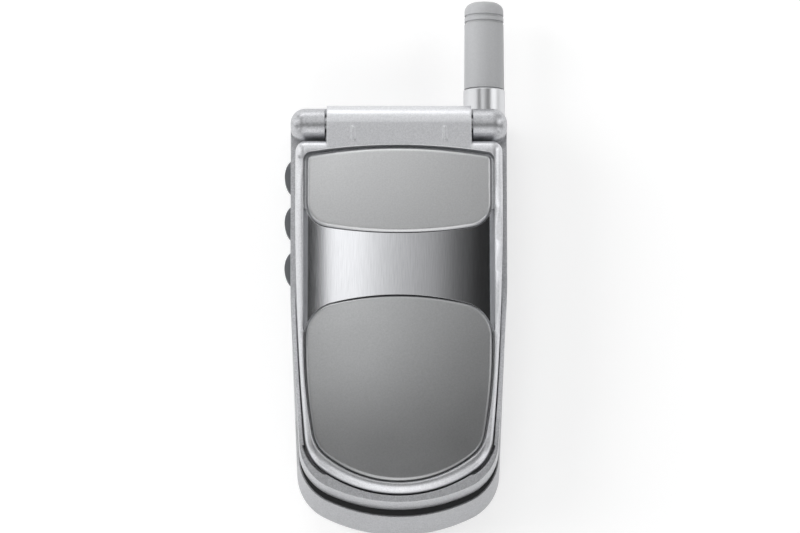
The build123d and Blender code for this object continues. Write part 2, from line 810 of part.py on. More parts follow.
sim_holder_z = sim_z - sim_gap - sim_floor
with BuildPart() as sim_holder:
    with BuildSketch(Plane.XY.offset(sim_holder_z)):
        with Locations((0, sim_head_y - sim_length / 2 + sim_rail / 2)):
            Rectangle(sim_width + 2 * sim_rail, sim_length + sim_rail)
    extrude(amount=board_z - sim_holder_z)
    # pocket of the card, open towards the foot
    with BuildSketch(Plane.XY.offset(sim_z - sim_gap)):
        with Locations((0, sim_head_y - sim_length)):
            Rectangle(sim_width + 2 * sim_gap, 2 * (sim_length + sim_gap))
    extrude(amount=sim_thickness + 2 * sim_gap, mode=Mode.SUBTRACT)
    # openings above and below the card
    with BuildSketch(Plane.XY.offset(sim_holder_z)):
        with Locations((0, sim_head_y - sim_length)):
            Rectangle(sim_width - 2 * sim_rail, 2 * sim_length - 2 * sim_rail)
    extrude(amount=board_z - sim_holder_z - sim_rail, mode=Mode.SUBTRACT)
sim_holder.part.label = "sim_holder"
export_step(sim_holder.part, "parts/sim_holder.step")

with BuildPart() as sim_card:
    with BuildSketch(Plane.XY.offset(sim_z)):
        with Locations((0, sim_head_y - sim_length / 2)):
            Rectangle(sim_width, sim_length)
    extrude(amount=sim_thickness)
    clipped = sim_card.edges().filter_by(Axis.Z).sort_by(lambda edge: edge.center().X + edge.center().Y)[-1]
    chamfer(clipped, sim_clip)
sim_card.part.label = "sim_card"
export_step(sim_card.part, "parts/sim_card.step")

with BuildPart() as battery_contacts:
    with BuildSketch(Plane.XY.offset(bay_ceiling)):
        with Locations((0, contact_y)):
            Rectangle(2 * contact_half, contact_length)
    extrude(amount=board_z - bay_ceiling)
    with BuildSketch(Plane.XY.offset(battery_z + battery_height)):
        with Locations((0, contact_y)):
            with GridLocations(2 * contact_half / contact_count, 0, contact_count, 1):
                SlotOverall(contact_length - contact_blade, contact_blade)
    extrude(amount=bay_ceiling - battery_z - battery_height)
battery_contacts.part.label = "battery_contacts"
export_step(battery_contacts.part, "parts/battery_contacts.step")

motor_z = board_z - motor_radius
motor_end_x = motor_x + motor_length
with BuildPart() as vibration_motor:
    with BuildSketch(Plane.YZ.offset(motor_x)):
        with Locations((motor_y, motor_z)):
            Circle(motor_radius)
    extrude(amount=motor_length)
    fillet(vibration_motor.edges().filter_by(GeomType.CIRCLE), motor_edge)
    with BuildSketch(Plane.YZ.offset(motor_end_x)):
        with Locations((motor_y, motor_z)):
            Circle(motor_shaft_radius)
    extrude(amount=weight_gap + weight_length)
vibration_motor.part.label = "vibration_motor"
export_step(vibration_motor.part, "parts/vibration_motor.step")

with BuildPart() as vibration_weight:
    with BuildSketch(Plane.YZ.offset(motor_end_x + weight_gap)):
        with Locations((motor_y, motor_z)):
            Circle(weight_radius)
        with Locations((motor_y, motor_z + weight_radius)):
            Rectangle(2 * weight_radius, 2 * weight_radius - motor_shaft_radius, mode=Mode.SUBTRACT)
        with Locations((motor_y, motor_z)):
            Circle(2 * motor_shaft_radius)
            Circle(motor_shaft_radius + run_fit, mode=Mode.SUBTRACT)
    extrude(amount=weight_length)
vibration_weight.part.label = "vibration_weight"
export_step(vibration_weight.part, "parts/vibration_weight.step")

with BuildPart() as microphone:
    with BuildSketch(Plane.XY.offset(board_top)):
        with Locations((0, mic_y)):
            Circle(mic_radius)
    extrude(amount=mic_height)
    with BuildSketch(Plane.XY.offset(board_top + mic_height)):
        with Locations((0, mic_y)):
            Circle(mic_radius / 4)
    extrude(amount=-mic_height / 2, mode=Mode.SUBTRACT)
microphone.part.label = "microphone"
export_step(microphone.part, "parts/microphone.step")

port_outer_x = -(half_foot - wall / 2)
with BuildPart() as accessory_port:
    with BuildSketch(Plane.YZ.offset(port_outer_x)):
        with Locations((port_y, board_z - port_height / 2)):
            Rectangle(2 * (port_half - button_gap), port_height - 2 * button_gap)
    extrude(amount=port_inner_x - port_outer_x)
    with BuildSketch(Plane.YZ.offset(port_outer_x)):
        with Locations((port_y, board_z - port_height / 2)):
            Rectangle(2 * (port_half - wall / 2), port_height / 2)
    extrude(amount=wall * 2, mode=Mode.SUBTRACT)
    # contacts standing in the mouth
    with BuildSketch(Plane.YZ.offset(port_outer_x + port_recess)):
        with Locations((port_y, board_z - port_height / 2 + port_height / 8)):
            with GridLocations(port_pin_pitch, 0, port_pin_count, 1):
                Rectangle(port_pin_width, port_height / 4)
    extrude(amount=wall * 2 - port_recess)
    # foot on the board
    with BuildSketch(Plane.XY.offset(board_z - port_height / 2)):
        with Locations(((port_inner_x - board_half) / 2, port_y)):
            Rectangle(board_half + port_inner_x, 2 * (port_half - button_gap))
    extrude(amount=port_height / 2)
accessory_port.part.label = "accessory_port"
export_step(accessory_port.part, "parts/accessory_port.step")

# ---------------------------------------------------------------- display

lens_under = front_z - lens_sink - lens_thickness
with BuildPart() as display_lens:
    with BuildSketch(Plane.XY.offset(lens_under)):
        with Locations((0, lens_y)):
            RectangleRounded(lens_width, lens_length, lens_corner)
    extrude(amount=lens_thickness)
    chamfer(display_lens.faces().sort_by(Axis.Z)[-1].edges(), lens_gap)
display_lens.part.label = "display_lens"
export_step(display_lens.part, "parts/display_lens.step")

with BuildPart() as display_module:
    with BuildSketch(Plane.XY.offset(board_top)):
        with Locations((0, lens_y)):
            Rectangle(lens_width + 2 * display_margin, lens_length + 2 * display_margin)
    extrude(amount=display_height)
    # step around the glass
    with BuildSketch(Plane.XY.offset(board_top + display_height)):
        with Locations((0, lens_y)):
            Rectangle(lens_width + 2 * display_margin, lens_length + 2 * display_margin)
            Rectangle(lens_width - 2 * lens_ledge, lens_length - 2 * lens_ledge, mode=Mode.SUBTRACT)
    extrude(amount=-display_margin / 4, mode=Mode.SUBTRACT)
display_module.part.label = "display_module"
export_step(display_module.part, "parts/display_module.step")

# ---------------------------------------------------------------- keypad

keypad_foot_y = key_places[-1][1] - key_length / 2 - mat_margin
keypad_head_y = function_y + function_length / 2 + mat_margin
keypad_middle_y = (keypad_foot_y + keypad_head_y) / 2
keypad_half = key_pitch_x + key_width / 2 + mat_margin

with BuildPart() as dome_sheet:
    with BuildSketch(Plane.XY.offset(board_top)):
        with Locations((0, keypad_middle_y)):
            Rectangle(2 * keypad_half, keypad_head_y - keypad_foot_y)
    extrude(amount=dome_sheet_thickness)
    with BuildSketch(Plane.XY.offset(board_top + dome_sheet_thickness)):
        with Locations(*key_places, *function_places):
            Circle(dome_radius)
    extrude(amount=dome_height, taper=45)
dome_sheet.part.label = "dome_sheet"
export_step(dome_sheet.part, "parts/dome_sheet.step")

mat_z = board_top + dome_sheet_thickness
with BuildPart() as keypad_mat:
    with BuildSketch(Plane.XY.offset(mat_z)):
        with Locations((0, keypad_middle_y)):
            Rectangle(2 * keypad_half, keypad_head_y - keypad_foot_y)
    extrude(amount=mat_thickness)
    # rooms over the domes
    with BuildSketch(Plane.XY.offset(mat_z)):
        with Locations(*key_places, *function_places):
            Circle(dome_radius + key_gap)
    extrude(amount=dome_height + key_gap, mode=Mode.SUBTRACT)
keypad_mat.part.label = "keypad_mat"
export_step(keypad_mat.part, "parts/keypad_mat.step")

key_top = front_z - key_sink
flange_top = plate_under - flange_gap
key_shapes = {
    "number": (key_width, key_length, key_round, key_edge),
    "function": (function_width, function_length, function_round, function_edge),
}
number_names = ("1", "2", "3", "4", "5", "6", "7", "8", "9", "star", "0", "hash")
function_names = ("send", "menu", "end")
all_keys = [("number", name, place) for name, place in zip(number_names, key_places)]
all_keys += [("function", name, place) for name, place in zip(function_names, function_places)]

for kind, name, (x, y) in all_keys:
    width, length, corner, edge = key_shapes[kind]
    with BuildPart() as key:
        with BuildSketch(Plane.XY.offset(flange_top)):
            with Locations((x, y)):
                RectangleRounded(width, length, corner)
        extrude(amount=key_top - flange_top)
        fillet(key.faces().sort_by(Axis.Z)[-1].edges(), edge)
        with BuildSketch(Plane.XY.offset(flange_top - flange_height)):
            with Locations((x, y)):
                RectangleRounded(width + 2 * key_flange, length + 2 * key_flange, corner)
        extrude(amount=flange_height)
        with BuildSketch(Plane.XY.offset(flange_top - flange_height - stem_height)):
            with Locations((x, y)):
                Circle(stem_radius)
        extrude(amount=stem_height)
    key.part.label = f"key_{name}"
    export_step(key.part, f"parts/key_{name}.step")

# ---------------------------------------------------------------- side buttons

button_radius = (button_length**2 / 4 + button_height**2) / (2 * button_height)
flange_x = -(side_inner_x - button_gap)
plunger_x = flange_x + button_flange_thickness
switch_x = plunger_x + plunger_length + button_travel
strip_x = switch_x + switch_thickness
button_places = [button_first_y - n * button_pitch for n in range(3)]

for name, y in zip(("upper", "middle", "lower"), button_places):
    with BuildPart() as side_button:
        with BuildSketch(Plane.XY.offset(button_z - button_width / 2)):
            with Locations((-(side_outer_x + button_height - button_radius), y)):
                Circle(button_radius)
            with Locations((flange_x, y)):
                Rectangle(2 * half_head, button_length, mode=Mode.INTERSECT)
            with Locations((flange_x, y)):
                Rectangle(2 * half_head, button_length, align=(Align.MIN, Align.CENTER), mode=Mode.SUBTRACT)
            with Locations((-side_outer_x, y)):
                Rectangle(side_outer_x + flange_x, button_length, align=(Align.MIN, Align.CENTER))
        extrude(amount=button_width)
        # ends rounded as the hole's
        with BuildSketch(Plane.YZ.offset(-2 * half_head)):
            with Locations((y, button_z)):
                RectangleRounded(button_length, button_width, button_width / 2 - button_gap)
        extrude(amount=2 * half_head, mode=Mode.INTERSECT)
        with BuildSketch(Plane.YZ.offset(flange_x)):
            with Locations((y, button_z)):
                Rectangle(button_length + 2 * button_flange, button_width + 2 * button_flange)
        extrude(amount=button_flange_thickness)
        with BuildSketch(Plane.YZ.offset(plunger_x)):
            with Locations((y, button_z)):
                Circle(stem_radius)
        extrude(amount=plunger_length)
    side_button.part.label = f"side_button_{name}"
    export_step(side_button.part, f"parts/side_button_{name}.step")

with BuildPart() as side_switches:
    strip_foot_y = button_places[-1] - button_length / 2
    strip_head_y = button_places[0] + button_length / 2
    with BuildSketch(Plane.YZ.offset(strip_x)):
        with Locations(((strip_foot_y + strip_head_y) / 2, (button_z - button_width / 2 + board_top) / 2)):
            Rectangle(strip_head_y - strip_foot_y, board_top - button_z + button_width / 2)
    extrude(amount=strip_thickness)
    with BuildSketch(Plane.YZ.offset(switch_x)):
        with Locations(*[(y, button_z) for y in button_places]):
            Rectangle(button_width, button_width)
    extrude(amount=switch_thickness)
side_switches.part.label = "side_switches"
export_step(side_switches.part, "parts/side_switches.step")

# ---------------------------------------------------------------- antenna

with BuildPart() as antenna_collar:
    with BuildSketch(Plane.XZ.offset(-collar_seat_y)):
        with Locations((antenna_x, antenna_z)):
            Circle(collar_radius)
    extrude(amount=collar_seat_y - collar_top_y)
    with BuildSketch(Plane.XZ.offset(-collar_seat_y)):
        with Locations((antenna_x, antenna_z)):
            Circle(shank_radius)
    extrude(amount=shank_length)
    chamfer(antenna_collar.faces().sort_by(Axis.Y)[-1].edges(), collar_edge)
    with BuildSketch(Plane.XZ.offset(-collar_top_y)):
        with Locations((antenna_x, antenna_z)):
            Circle(whip_radius + run_fit)
    extrude(amount=collar_top_y - collar_seat_y + shank_length, mode=Mode.SUBTRACT)
antenna_collar.part.label = "antenna_collar"
export_step(antenna_collar.part, "parts/antenna_collar.step")

antenna_axis = Axis((antenna_x, 0, antenna_z), (0, 1, 0))
cap_foot_y = collar_top_y + seat_fit
cap_head_y = cap_foot_y + cap_length
coil_foot_y = cap_foot_y + coil_rise
coil_length = coil_pitch * coil_turns
core_radius = coil_radius - coil_wire
with BuildPart() as antenna_cap:
    with BuildSketch(Plane.XY.offset(antenna_z)):
        with BuildLine():
            Polyline((antenna_x, cap_foot_y), (antenna_x + cap_radius_foot, cap_foot_y),
                     (antenna_x + cap_radius_top, cap_head_y), (antenna_x, cap_head_y), close=True)
        make_face()
    revolve(axis=antenna_axis)
    fillet(antenna_cap.faces().sort_by(Axis.Y)[-1].edges(), cap_round)
    # two grip grooves near the tip
    with BuildSketch(Plane.XY.offset(antenna_z)):
        with Locations(*[(antenna_x + cap_radius_top, cap_head_y - grip_groove_first - n * grip_groove_pitch)
                         for n in range(2)]):
            Rectangle(2 * grip_groove_depth, grip_groove_width)
    revolve(axis=antenna_axis, mode=Mode.SUBTRACT)
    # room for the coil, and the hole that the whip is moulded into
    with BuildSketch(Plane.XZ.offset(-coil_foot_y)):
        with Locations((antenna_x, antenna_z)):
            Circle(coil_radius + seat_fit)
    extrude(amount=-coil_length - coil_wire, mode=Mode.SUBTRACT)
    with BuildSketch(Plane.XZ.offset(-cap_foot_y)):
        with Locations((antenna_x, antenna_z)):
            Circle(whip_radius + seat_fit)
    extrude(amount=cap_foot_y - coil_foot_y, mode=Mode.SUBTRACT)
antenna_cap.part.label = "antenna_cap"
export_step(antenna_cap.part, "parts/antenna_cap.step")

with BuildPart() as antenna_coil:
    with BuildLine() as coil_path:
        Helix(pitch=coil_pitch, height=coil_length - 2 * coil_wire, radius=core_radius,
              center=(antenna_x, coil_foot_y + coil_wire, antenna_z), direction=(0, 1, 0))
    with BuildSketch(Plane(coil_path.line @ 0, z_dir=coil_path.line % 0)):
        Circle(coil_wire)
    sweep(path=coil_path.line)
antenna_coil.part.label = "antenna_coil"
export_step(antenna_coil.part, "parts/antenna_coil.step")

with BuildPart() as antenna_whip:
    with BuildSketch(Plane.XZ.offset(-whip_foot_y)):
        with Locations((antenna_x, antenna_z)):
            Circle(whip_radius)
    extrude(amount=whip_foot_y - coil_foot_y + seat_fit)
    with BuildSketch(Plane.XZ.offset(-whip_foot_y)):
        with Locations((antenna_x, antenna_z)):
            Circle(stopper_radius)
    extrude(amount=-stopper_length)
    fillet(antenna_whip.edges().filter_by(GeomType.CIRCLE).sort_by(Axis.Y)[:1], whip_radius / 2)
antenna_whip.part.label = "antenna_whip"
export_step(antenna_whip.part, "parts/antenna_whip.step")

with BuildPart() as antenna_contact:
    with BuildSketch(Plane.XZ.offset(-clip_y)):
        with Locations((antenna_x, antenna_z)):
            Circle(stopper_radius + clip_thickness)
            Circle(stopper_radius, mode=Mode.SUBTRACT)
        with Locations((antenna_x, (antenna_z + stopper_radius + board_z) / 2)):
            Rectangle(2 * stopper_radius, board_z - antenna_z - stopper_radius)
        with Locations((antenna_x, antenna_z)):
            Circle(whip_radius + run_fit, mode=Mode.SUBTRACT)
    extrude(amount=-clip_length)
    # two lips that press on the whip
    with BuildSketch(Plane.XZ.offset(-clip_y)):
        with Locations((antenna_x, antenna_z)):
            Circle(stopper_radius + clip_thickness / 2)
            Circle(whip_radius + run_fit, mode=Mode.SUBTRACT)
    extrude(amount=-clip_thickness)
antenna_contact.part.label = "antenna_contact"
export_step(antenna_contact.part, "parts/antenna_contact.step")

# ---------------------------------------------------------------- lid

with BuildPart() as lid_form:
    with BuildSketch(Plane.XY.offset(lid_back_z)):
        add(lid_outline())
    extrude(amount=lid_front_z - lid_back_z)
    # the front falls away in an arc towards the foot
    fall_middle_y = (lid_fall_y + lid_foot_y) / 2
    with BuildSketch(Plane.YZ.offset(-half_head)):
        with BuildLine():
            ThreePointArc((lid_fall_y, lid_front_z), (fall_middle_y, lid_front_z - lid_fall / 4),
                          (lid_foot_y, lid_front_z - lid_fall))
            Polyline((lid_foot_y, lid_front_z - lid_fall), (lid_foot_y, lid_front_z + lid_fall),
                     (lid_fall_y, lid_front_z + lid_fall), (lid_fall_y, lid_front_z))
        make_face()
    extrude(amount=2 * half_head, mode=Mode.SUBTRACT)
    rim = lid_form.edges().filter_by(lambda edge: edge.center().Z > lid_front_z - 2 * lid_fall)
    fillet(rim.filter_by(lambda edge: abs(edge.center().X) > lid_wall or abs(edge.center().Y - shoulder_y) < 1
                         or abs(edge.center().Y - lid_foot_y) < 2), lid_edge)

with BuildPart() as flip_outer_shell:
    add(lid_form.part)
    # hinge barrel and the neck that joins it to the lid
    with BuildSketch(Plane.YZ.offset(-barrel_half)):
        with Locations((hinge_y, hinge_z)):
            Circle(hinge_radius)
        with Locations(((hinge_y + shoulder_y - lid_edge) / 2, (lid_back_z + lid_front_z) / 2)):
            Rectangle(hinge_y - shoulder_y + lid_edge, lid_front_z - lid_back_z)
    extrude(amount=2 * barrel_half)
    # recess for the three front inserts
    with BuildSketch(Plane.XY.offset(insert_z)):
        add(panel_outline(groove))
    extrude(amount=lid_thickness, mode=Mode.SUBTRACT)
    with BuildSketch(Plane.XY.offset(insert_z)):
        add(pad_outline(pad_groove))
    extrude(amount=lid_thickness, mode=Mode.SUBTRACT)
    with BuildSketch(Plane.XY.offset(insert_z)):
        with Locations((0, band_middle_y)):
            Rectangle(2 * recess_half, band_length)
    extrude(amount=lid_thickness, mode=Mode.SUBTRACT)
    # hollow behind the web
    with BuildSketch(Plane.XY.offset(lid_back_z)):
        add(lid_outline(-lid_wall))
    extrude(amount=lid_hollow_z - lid_back_z, mode=Mode.SUBTRACT)
    # bores of the barrel: pin on the left, flat cable in the middle, hinge module on the right
    with BuildSketch(Plane.YZ.offset(-barrel_half)):
        with Locations((hinge_y, hinge_z)):
            Circle(pin_radius + run_fit)
    extrude(amount=pin_depth, mode=Mode.SUBTRACT)
    with BuildSketch(Plane.YZ.offset(roll_middle_x - flex_roll_half - flex_gap)):
        with Locations((hinge_y, hinge_z)):
            Circle(module_radius + seat_fit)
    extrude(amount=2 * (flex_roll_half + flex_gap), mode=Mode.SUBTRACT)
    with BuildSketch(Plane.YZ.offset(barrel_half - module_length)):
        with Locations((hinge_y, hinge_z)):
            Circle(module_radius + seat_fit)
    extrude(amount=module_length, mode=Mode.SUBTRACT)
    # slot that the flat cable runs through from the barrel into the hollow
    with BuildSketch(Plane.XZ.offset(-hinge_y)):
        with Locations((roll_middle_x, lid_hollow_z - flex_thickness)):
            Rectangle(flex_width + 2 * flex_gap, 2 * flex_thickness + 2 * flex_gap)
    extrude(amount=hinge_y - shoulder_y + 2 * lid_wall, mode=Mode.SUBTRACT)
    # two raised pips on the hinge face
    with BuildSketch(Plane.XY.offset(lid_front_z)):
        with Locations((-pip_x, pip_y), (pip_x, pip_y)):
            SlotOverall(pip_length, pip_width, rotation=90)
    extrude(amount=pip_height)
flip_outer_shell.part.label = "flip_outer_shell"
export_step(flip_outer_shell.part, "parts/flip_outer_shell.step")

with BuildPart() as upper_panel:
    with BuildSketch(Plane.XY.offset(insert_z)):
        add(panel_outline())
    extrude(amount=lid_thickness)
    with Locations((0, (panel_head_y + panel_foot_y) / 2, lid_front_z + panel_crown - panel_dome)):
        Sphere(panel_dome, mode=Mode.INTERSECT)
    fillet(upper_panel.faces().sort_by(Axis.Z)[-1].edges(), panel_edge)
upper_panel.part.label = "upper_panel"
export_step(upper_panel.part, "parts/upper_panel.step")

with BuildPart() as lower_pad:
    with BuildSketch(Plane.XY.offset(insert_z)):
        add(pad_outline())
    extrude(amount=lid_thickness)
    with Locations((0, (pad_head_y + pad_foot_y) / 2, lid_front_z + pad_crown - pad_dome)):
        Sphere(pad_dome, mode=Mode.INTERSECT)
    fillet(lower_pad.faces().sort_by(Axis.Z)[-1].edges(), pad_edge)
lower_pad.part.label = "lower_pad"
export_step(lower_pad.part, "parts/lower_pad.step")

with BuildPart() as waist_band:
    with BuildSketch(Plane.XY.offset(insert_z)):
        with Locations((0, band_middle_y)):
            Rectangle(2 * band_half, band_length)
        add(panel_outline(band_gap), mode=Mode.SUBTRACT)
        add(pad_outline(band_gap), mode=Mode.SUBTRACT)
    extrude(amount=lid_thickness)
    # crowned across the lid
    with BuildSketch(Plane.XZ.offset(-head_y)):
        with Locations((0, lid_front_z + band_crown - band_radius)):
            Circle(band_radius)
    extrude(amount=2 * head_y, mode=Mode.INTERSECT)
waist_band.part.label = "waist_band"
export_step(waist_band.part, "parts/waist_band.step")

with BuildPart() as flip_inner_cover:
    with BuildSketch(Plane.XY.offset(lid_back_z)):
        add(lid_outline(-lid_wall - seat_fit))
    extrude(amount=inner_cover_thickness)
    # sound slots of the earpiece
    with BuildSketch(Plane.XY.offset(lid_back_z)):
        with Locations((0, earpiece_y)):
            with GridLocations(0, slot_pitch, 1, slot_count):
                SlotOverall(slot_length, slot_width)
    extrude(amount=inner_cover_thickness, mode=Mode.SUBTRACT)
    # seats of the two bumpers
    with BuildSketch(Plane.XY.offset(lid_back_z)):
        with Locations((-bumper_x, bumper_y), (bumper_x, bumper_y)):
            Circle(bumper_radius + seat_fit)
    extrude(amount=bumper_depth, mode=Mode.SUBTRACT)
    # shallow field around the ear
    with BuildSketch(Plane.XY.offset(lid_back_z)):
        with Locations((0, earpiece_y)):
            Ellipse(1.6 * earpiece_radius, earpiece_radius)
            with GridLocations(0, slot_pitch, 1, slot_count):
                SlotOverall(slot_length + slot_pitch, slot_width + slot_pitch / 2, mode=Mode.SUBTRACT)
    extrude(amount=inner_cover_thickness / 4, mode=Mode.SUBTRACT)
flip_inner_cover.part.label = "flip_inner_cover"
export_step(flip_inner_cover.part, "parts/flip_inner_cover.step")

with BuildPart() as flip_bumpers:
    with BuildSketch(Plane.XY.offset(front_z)):
        with Locations((-bumper_x, bumper_y), (bumper_x, bumper_y)):
            Circle(bumper_radius)
    extrude(amount=lid_gap + bumper_depth)
flip_bumpers.part.label = "flip_bumpers"
export_step(flip_bumpers.part, "parts/flip_bumpers.step")

with BuildPart() as earpiece_gasket:
    with BuildSketch(Plane.XY.offset(lid_cover_top)):
        with Locations((0, earpiece_y)):
            Circle(earpiece_radius)
            Circle(earpiece_radius - gasket_width, mode=Mode.SUBTRACT)
    extrude(amount=gasket_height)
earpiece_gasket.part.label = "earpiece_gasket"
export_step(earpiece_gasket.part, "parts/earpiece_gasket.step")

earpiece_z = lid_cover_top + gasket_height
with BuildPart() as earpiece:
    with BuildSketch(Plane.XY.offset(earpiece_z)):
        with Locations((0, earpiece_y)):
            Circle(earpiece_radius)
    extrude(amount=earpiece_height)
    chamfer(earpiece.faces().sort_by(Axis.Z)[-1].edges(), gasket_height)
    with BuildSketch(Plane.XY.offset(earpiece_z)):
        with Locations((0, earpiece_y)):
            Circle(earpiece_radius - gasket_width)
    extrude(amount=gasket_height, mode=Mode.SUBTRACT)
earpiece.part.label = "earpiece"
export_step(earpiece.part, "parts/earpiece.step")

with BuildPart() as flip_magnet:
    with BuildSketch(Plane.XY.offset(lid_cover_top)):
        with Locations((magnet_x, magnet_y)):
            Rectangle(magnet_width, magnet_length)
    extrude(amount=lid_hollow_z - lid_cover_top - flex_gap)
flip_magnet.part.label = "flip_magnet"
export_step(flip_magnet.part, "parts/flip_magnet.step")

with BuildPart() as flip_flex:
    # roll in the barrel
    with BuildSketch(Plane.YZ.offset(roll_middle_x - flex_roll_half)):
        with Locations((hinge_y, hinge_z)):
            Circle(flex_roll_radius)
            Circle(flex_roll_radius - flex_thickness, mode=Mode.SUBTRACT)
    extrude(amount=2 * flex_roll_half)
    # tail along the web to the earpiece
    with BuildSketch(Plane.XY.offset(lid_hollow_z - flex_thickness)):
        with Locations((roll_middle_x, (hinge_y + earpiece_y + earpiece_radius) / 2)):
            Rectangle(flex_width, hinge_y - earpiece_y - earpiece_radius)
    extrude(amount=flex_thickness)
    with BuildSketch(Plane.YZ.offset(roll_middle_x - flex_roll_half)):
        with Locations((hinge_y, hinge_z)):
            Circle(flex_roll_radius - flex_thickness)
    extrude(amount=2 * flex_roll_half, mode=Mode.SUBTRACT)
flip_flex.part.label = "flip_flex"
export_step(flip_flex.part, "parts/flip_flex.step")

# ---------------------------------------------------------------- hinge

with BuildPart() as hinge_pin:
    with BuildSketch(Plane.YZ.offset(-knuckle_inner - pin_depth)):
        with Locations((hinge_y, hinge_z)):
            Circle(pin_radius)
    extrude(amount=2 * pin_depth + knuckle_gap - run_fit)
    chamfer(hinge_pin.edges().filter_by(GeomType.CIRCLE), pin_edge)
hinge_pin.part.label = "hinge_pin"
export_step(hinge_pin.part, "parts/hinge_pin.step")

module_x = barrel_half - module_length
with BuildPart() as hinge_module:
    with BuildSketch(Plane.YZ.offset(module_x)):
        with Locations((hinge_y, hinge_z)):
            Circle(module_radius)
    extrude(amount=module_length)
    with BuildSketch(Plane.YZ.offset(module_x + module_wall)):
        with Locations((hinge_y, hinge_z)):
            Circle(module_radius - module_wall)
    extrude(amount=module_length - 2 * module_wall, mode=Mode.SUBTRACT)
    with BuildSketch(Plane.YZ.offset(barrel_half - module_wall)):
        with Locations((hinge_y, hinge_z)):
            Circle(pin_radius + run_fit)
    extrude(amount=module_wall, mode=Mode.SUBTRACT)
hinge_module.part.label = "hinge_module"
export_step(hinge_module.part, "parts/hinge_module.step")

spring_start_x = module_x + module_wall + run_fit
cam_x = barrel_half - module_wall - run_fit - cam_length
with BuildPart() as hinge_shaft:
    with BuildSketch(Plane.YZ.offset(cam_x)):
        with Locations((hinge_y, hinge_z)):
            Circle(cam_radius)
    extrude(amount=cam_length)
    # two lobes of the cam
    with BuildSketch(Plane.YZ.offset(cam_x)):
        with Locations((hinge_y, hinge_z)):
            Rectangle(2 * cam_radius, cam_radius / 2)
    extrude(amount=cam_length / 4, mode=Mode.SUBTRACT)
    with BuildSketch(Plane.YZ.offset(cam_x + cam_length)):
        with Locations((hinge_y, hinge_z)):
            Circle(pin_radius)
    extrude(amount=knuckle_inner + pin_depth - cam_x - cam_length)
hinge_shaft.part.label = "hinge_shaft"
export_step(hinge_shaft.part, "parts/hinge_shaft.step")

follower_length = cam_length
with BuildPart() as hinge_follower:
    with BuildSketch(Plane.YZ.offset(cam_x - run_fit - follower_length)):
        with Locations((hinge_y, hinge_z)):
            Circle(cam_radius)
    extrude(amount=follower_length)
hinge_follower.part.label = "hinge_follower"
export_step(hinge_follower.part, "parts/hinge_follower.step")

spring_length = cam_x - run_fit - follower_length - spring_start_x
coiled_length = spring_length - 2 * spring_wire
with BuildPart() as hinge_spring:
    with BuildLine() as hinge_path:
        Helix(pitch=coiled_length / spring_turns, height=coiled_length, radius=cam_radius - spring_wire / 2,
              center=(spring_start_x + spring_wire, hinge_y, hinge_z), direction=(1, 0, 0))
    with BuildSketch(Plane(hinge_path.line @ 0, z_dir=hinge_path.line % 0)):
        Circle(spring_wire / 2)
    sweep(path=hinge_path.line)
hinge_spring.part.label = "hinge_spring"
export_step(hinge_spring.part, "parts/hinge_spring.step")

# ---------------------------------------------------------------- screws

with BuildPart() as housing_screws:
    with Locations(*[(x, y, screw_head_z) for x, y in screw_places]):
        Cylinder(screw_head_radius, screw_head_height, align=(Align.CENTER, Align.CENTER, Align.MIN))
        Cylinder(screw_radius, screw_length, align=(Align.CENTER, Align.CENTER, Align.MIN))
    with BuildSketch(Plane.XY.offset(screw_head_z)):
        with Locations(*screw_places):
            RegularPolygon(screw_radius, 6)
    extrude(amount=screw_head_height / 2, mode=Mode.SUBTRACT)
housing_screws.part.label = "housing_screws"
export_step(housing_screws.part, "parts/housing_screws.step")
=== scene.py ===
# %% [markdown]
# # A small flip phone, dressed for its picture
# The phone's solids come ready made: housings, lid, keys, hinge and antenna.
# This lesson gives each of them the finish of the real material, adds the small
# pieces that are printed, woven or moulded on, and sets up a light tent and a
# camera.  Everything is in metres, in the frame of the solids: X runs across the
# phone, Y towards the hinge, and Z out of the lid.

import math

import bmesh
import bpy
from mathutils import Matrix, Vector


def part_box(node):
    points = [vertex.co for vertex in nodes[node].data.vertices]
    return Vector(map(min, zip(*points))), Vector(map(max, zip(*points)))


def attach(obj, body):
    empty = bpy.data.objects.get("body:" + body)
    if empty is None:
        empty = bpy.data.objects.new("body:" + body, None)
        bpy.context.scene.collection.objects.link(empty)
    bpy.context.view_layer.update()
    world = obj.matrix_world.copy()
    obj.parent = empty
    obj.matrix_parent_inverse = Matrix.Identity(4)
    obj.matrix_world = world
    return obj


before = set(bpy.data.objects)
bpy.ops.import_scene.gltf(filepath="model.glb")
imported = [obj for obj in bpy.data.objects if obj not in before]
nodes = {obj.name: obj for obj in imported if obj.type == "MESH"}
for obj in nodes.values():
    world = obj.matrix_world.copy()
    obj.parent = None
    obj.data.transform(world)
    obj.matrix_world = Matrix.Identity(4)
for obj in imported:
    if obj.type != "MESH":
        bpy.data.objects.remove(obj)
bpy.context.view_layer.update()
MM = 0.001
print(len(nodes), "solids loaded")

# %% [markdown]
# ## The camera
# A product picture of a small object is taken from far off with a long lens, so
# its sides stay parallel.  The phone is seen almost square on, tipped by eight
# degrees so that the chin under the lid shows, and from a hair to its left.
# A tracking rotation would be shorter to write, but it rolls the picture near the
# vertical, so the camera's axes are built from its direction and the phone's Y.

# %% Camera
CAMERA_DISTANCE = 0.9
CAMERA_TILT = math.radians(8)
CAMERA_LEFT = math.radians(0.4)
LENS_MM = 200.4
SENSOR_MM = 36
CAMERA_TARGET = Vector((0.00022, 0.00994, 0.0214))

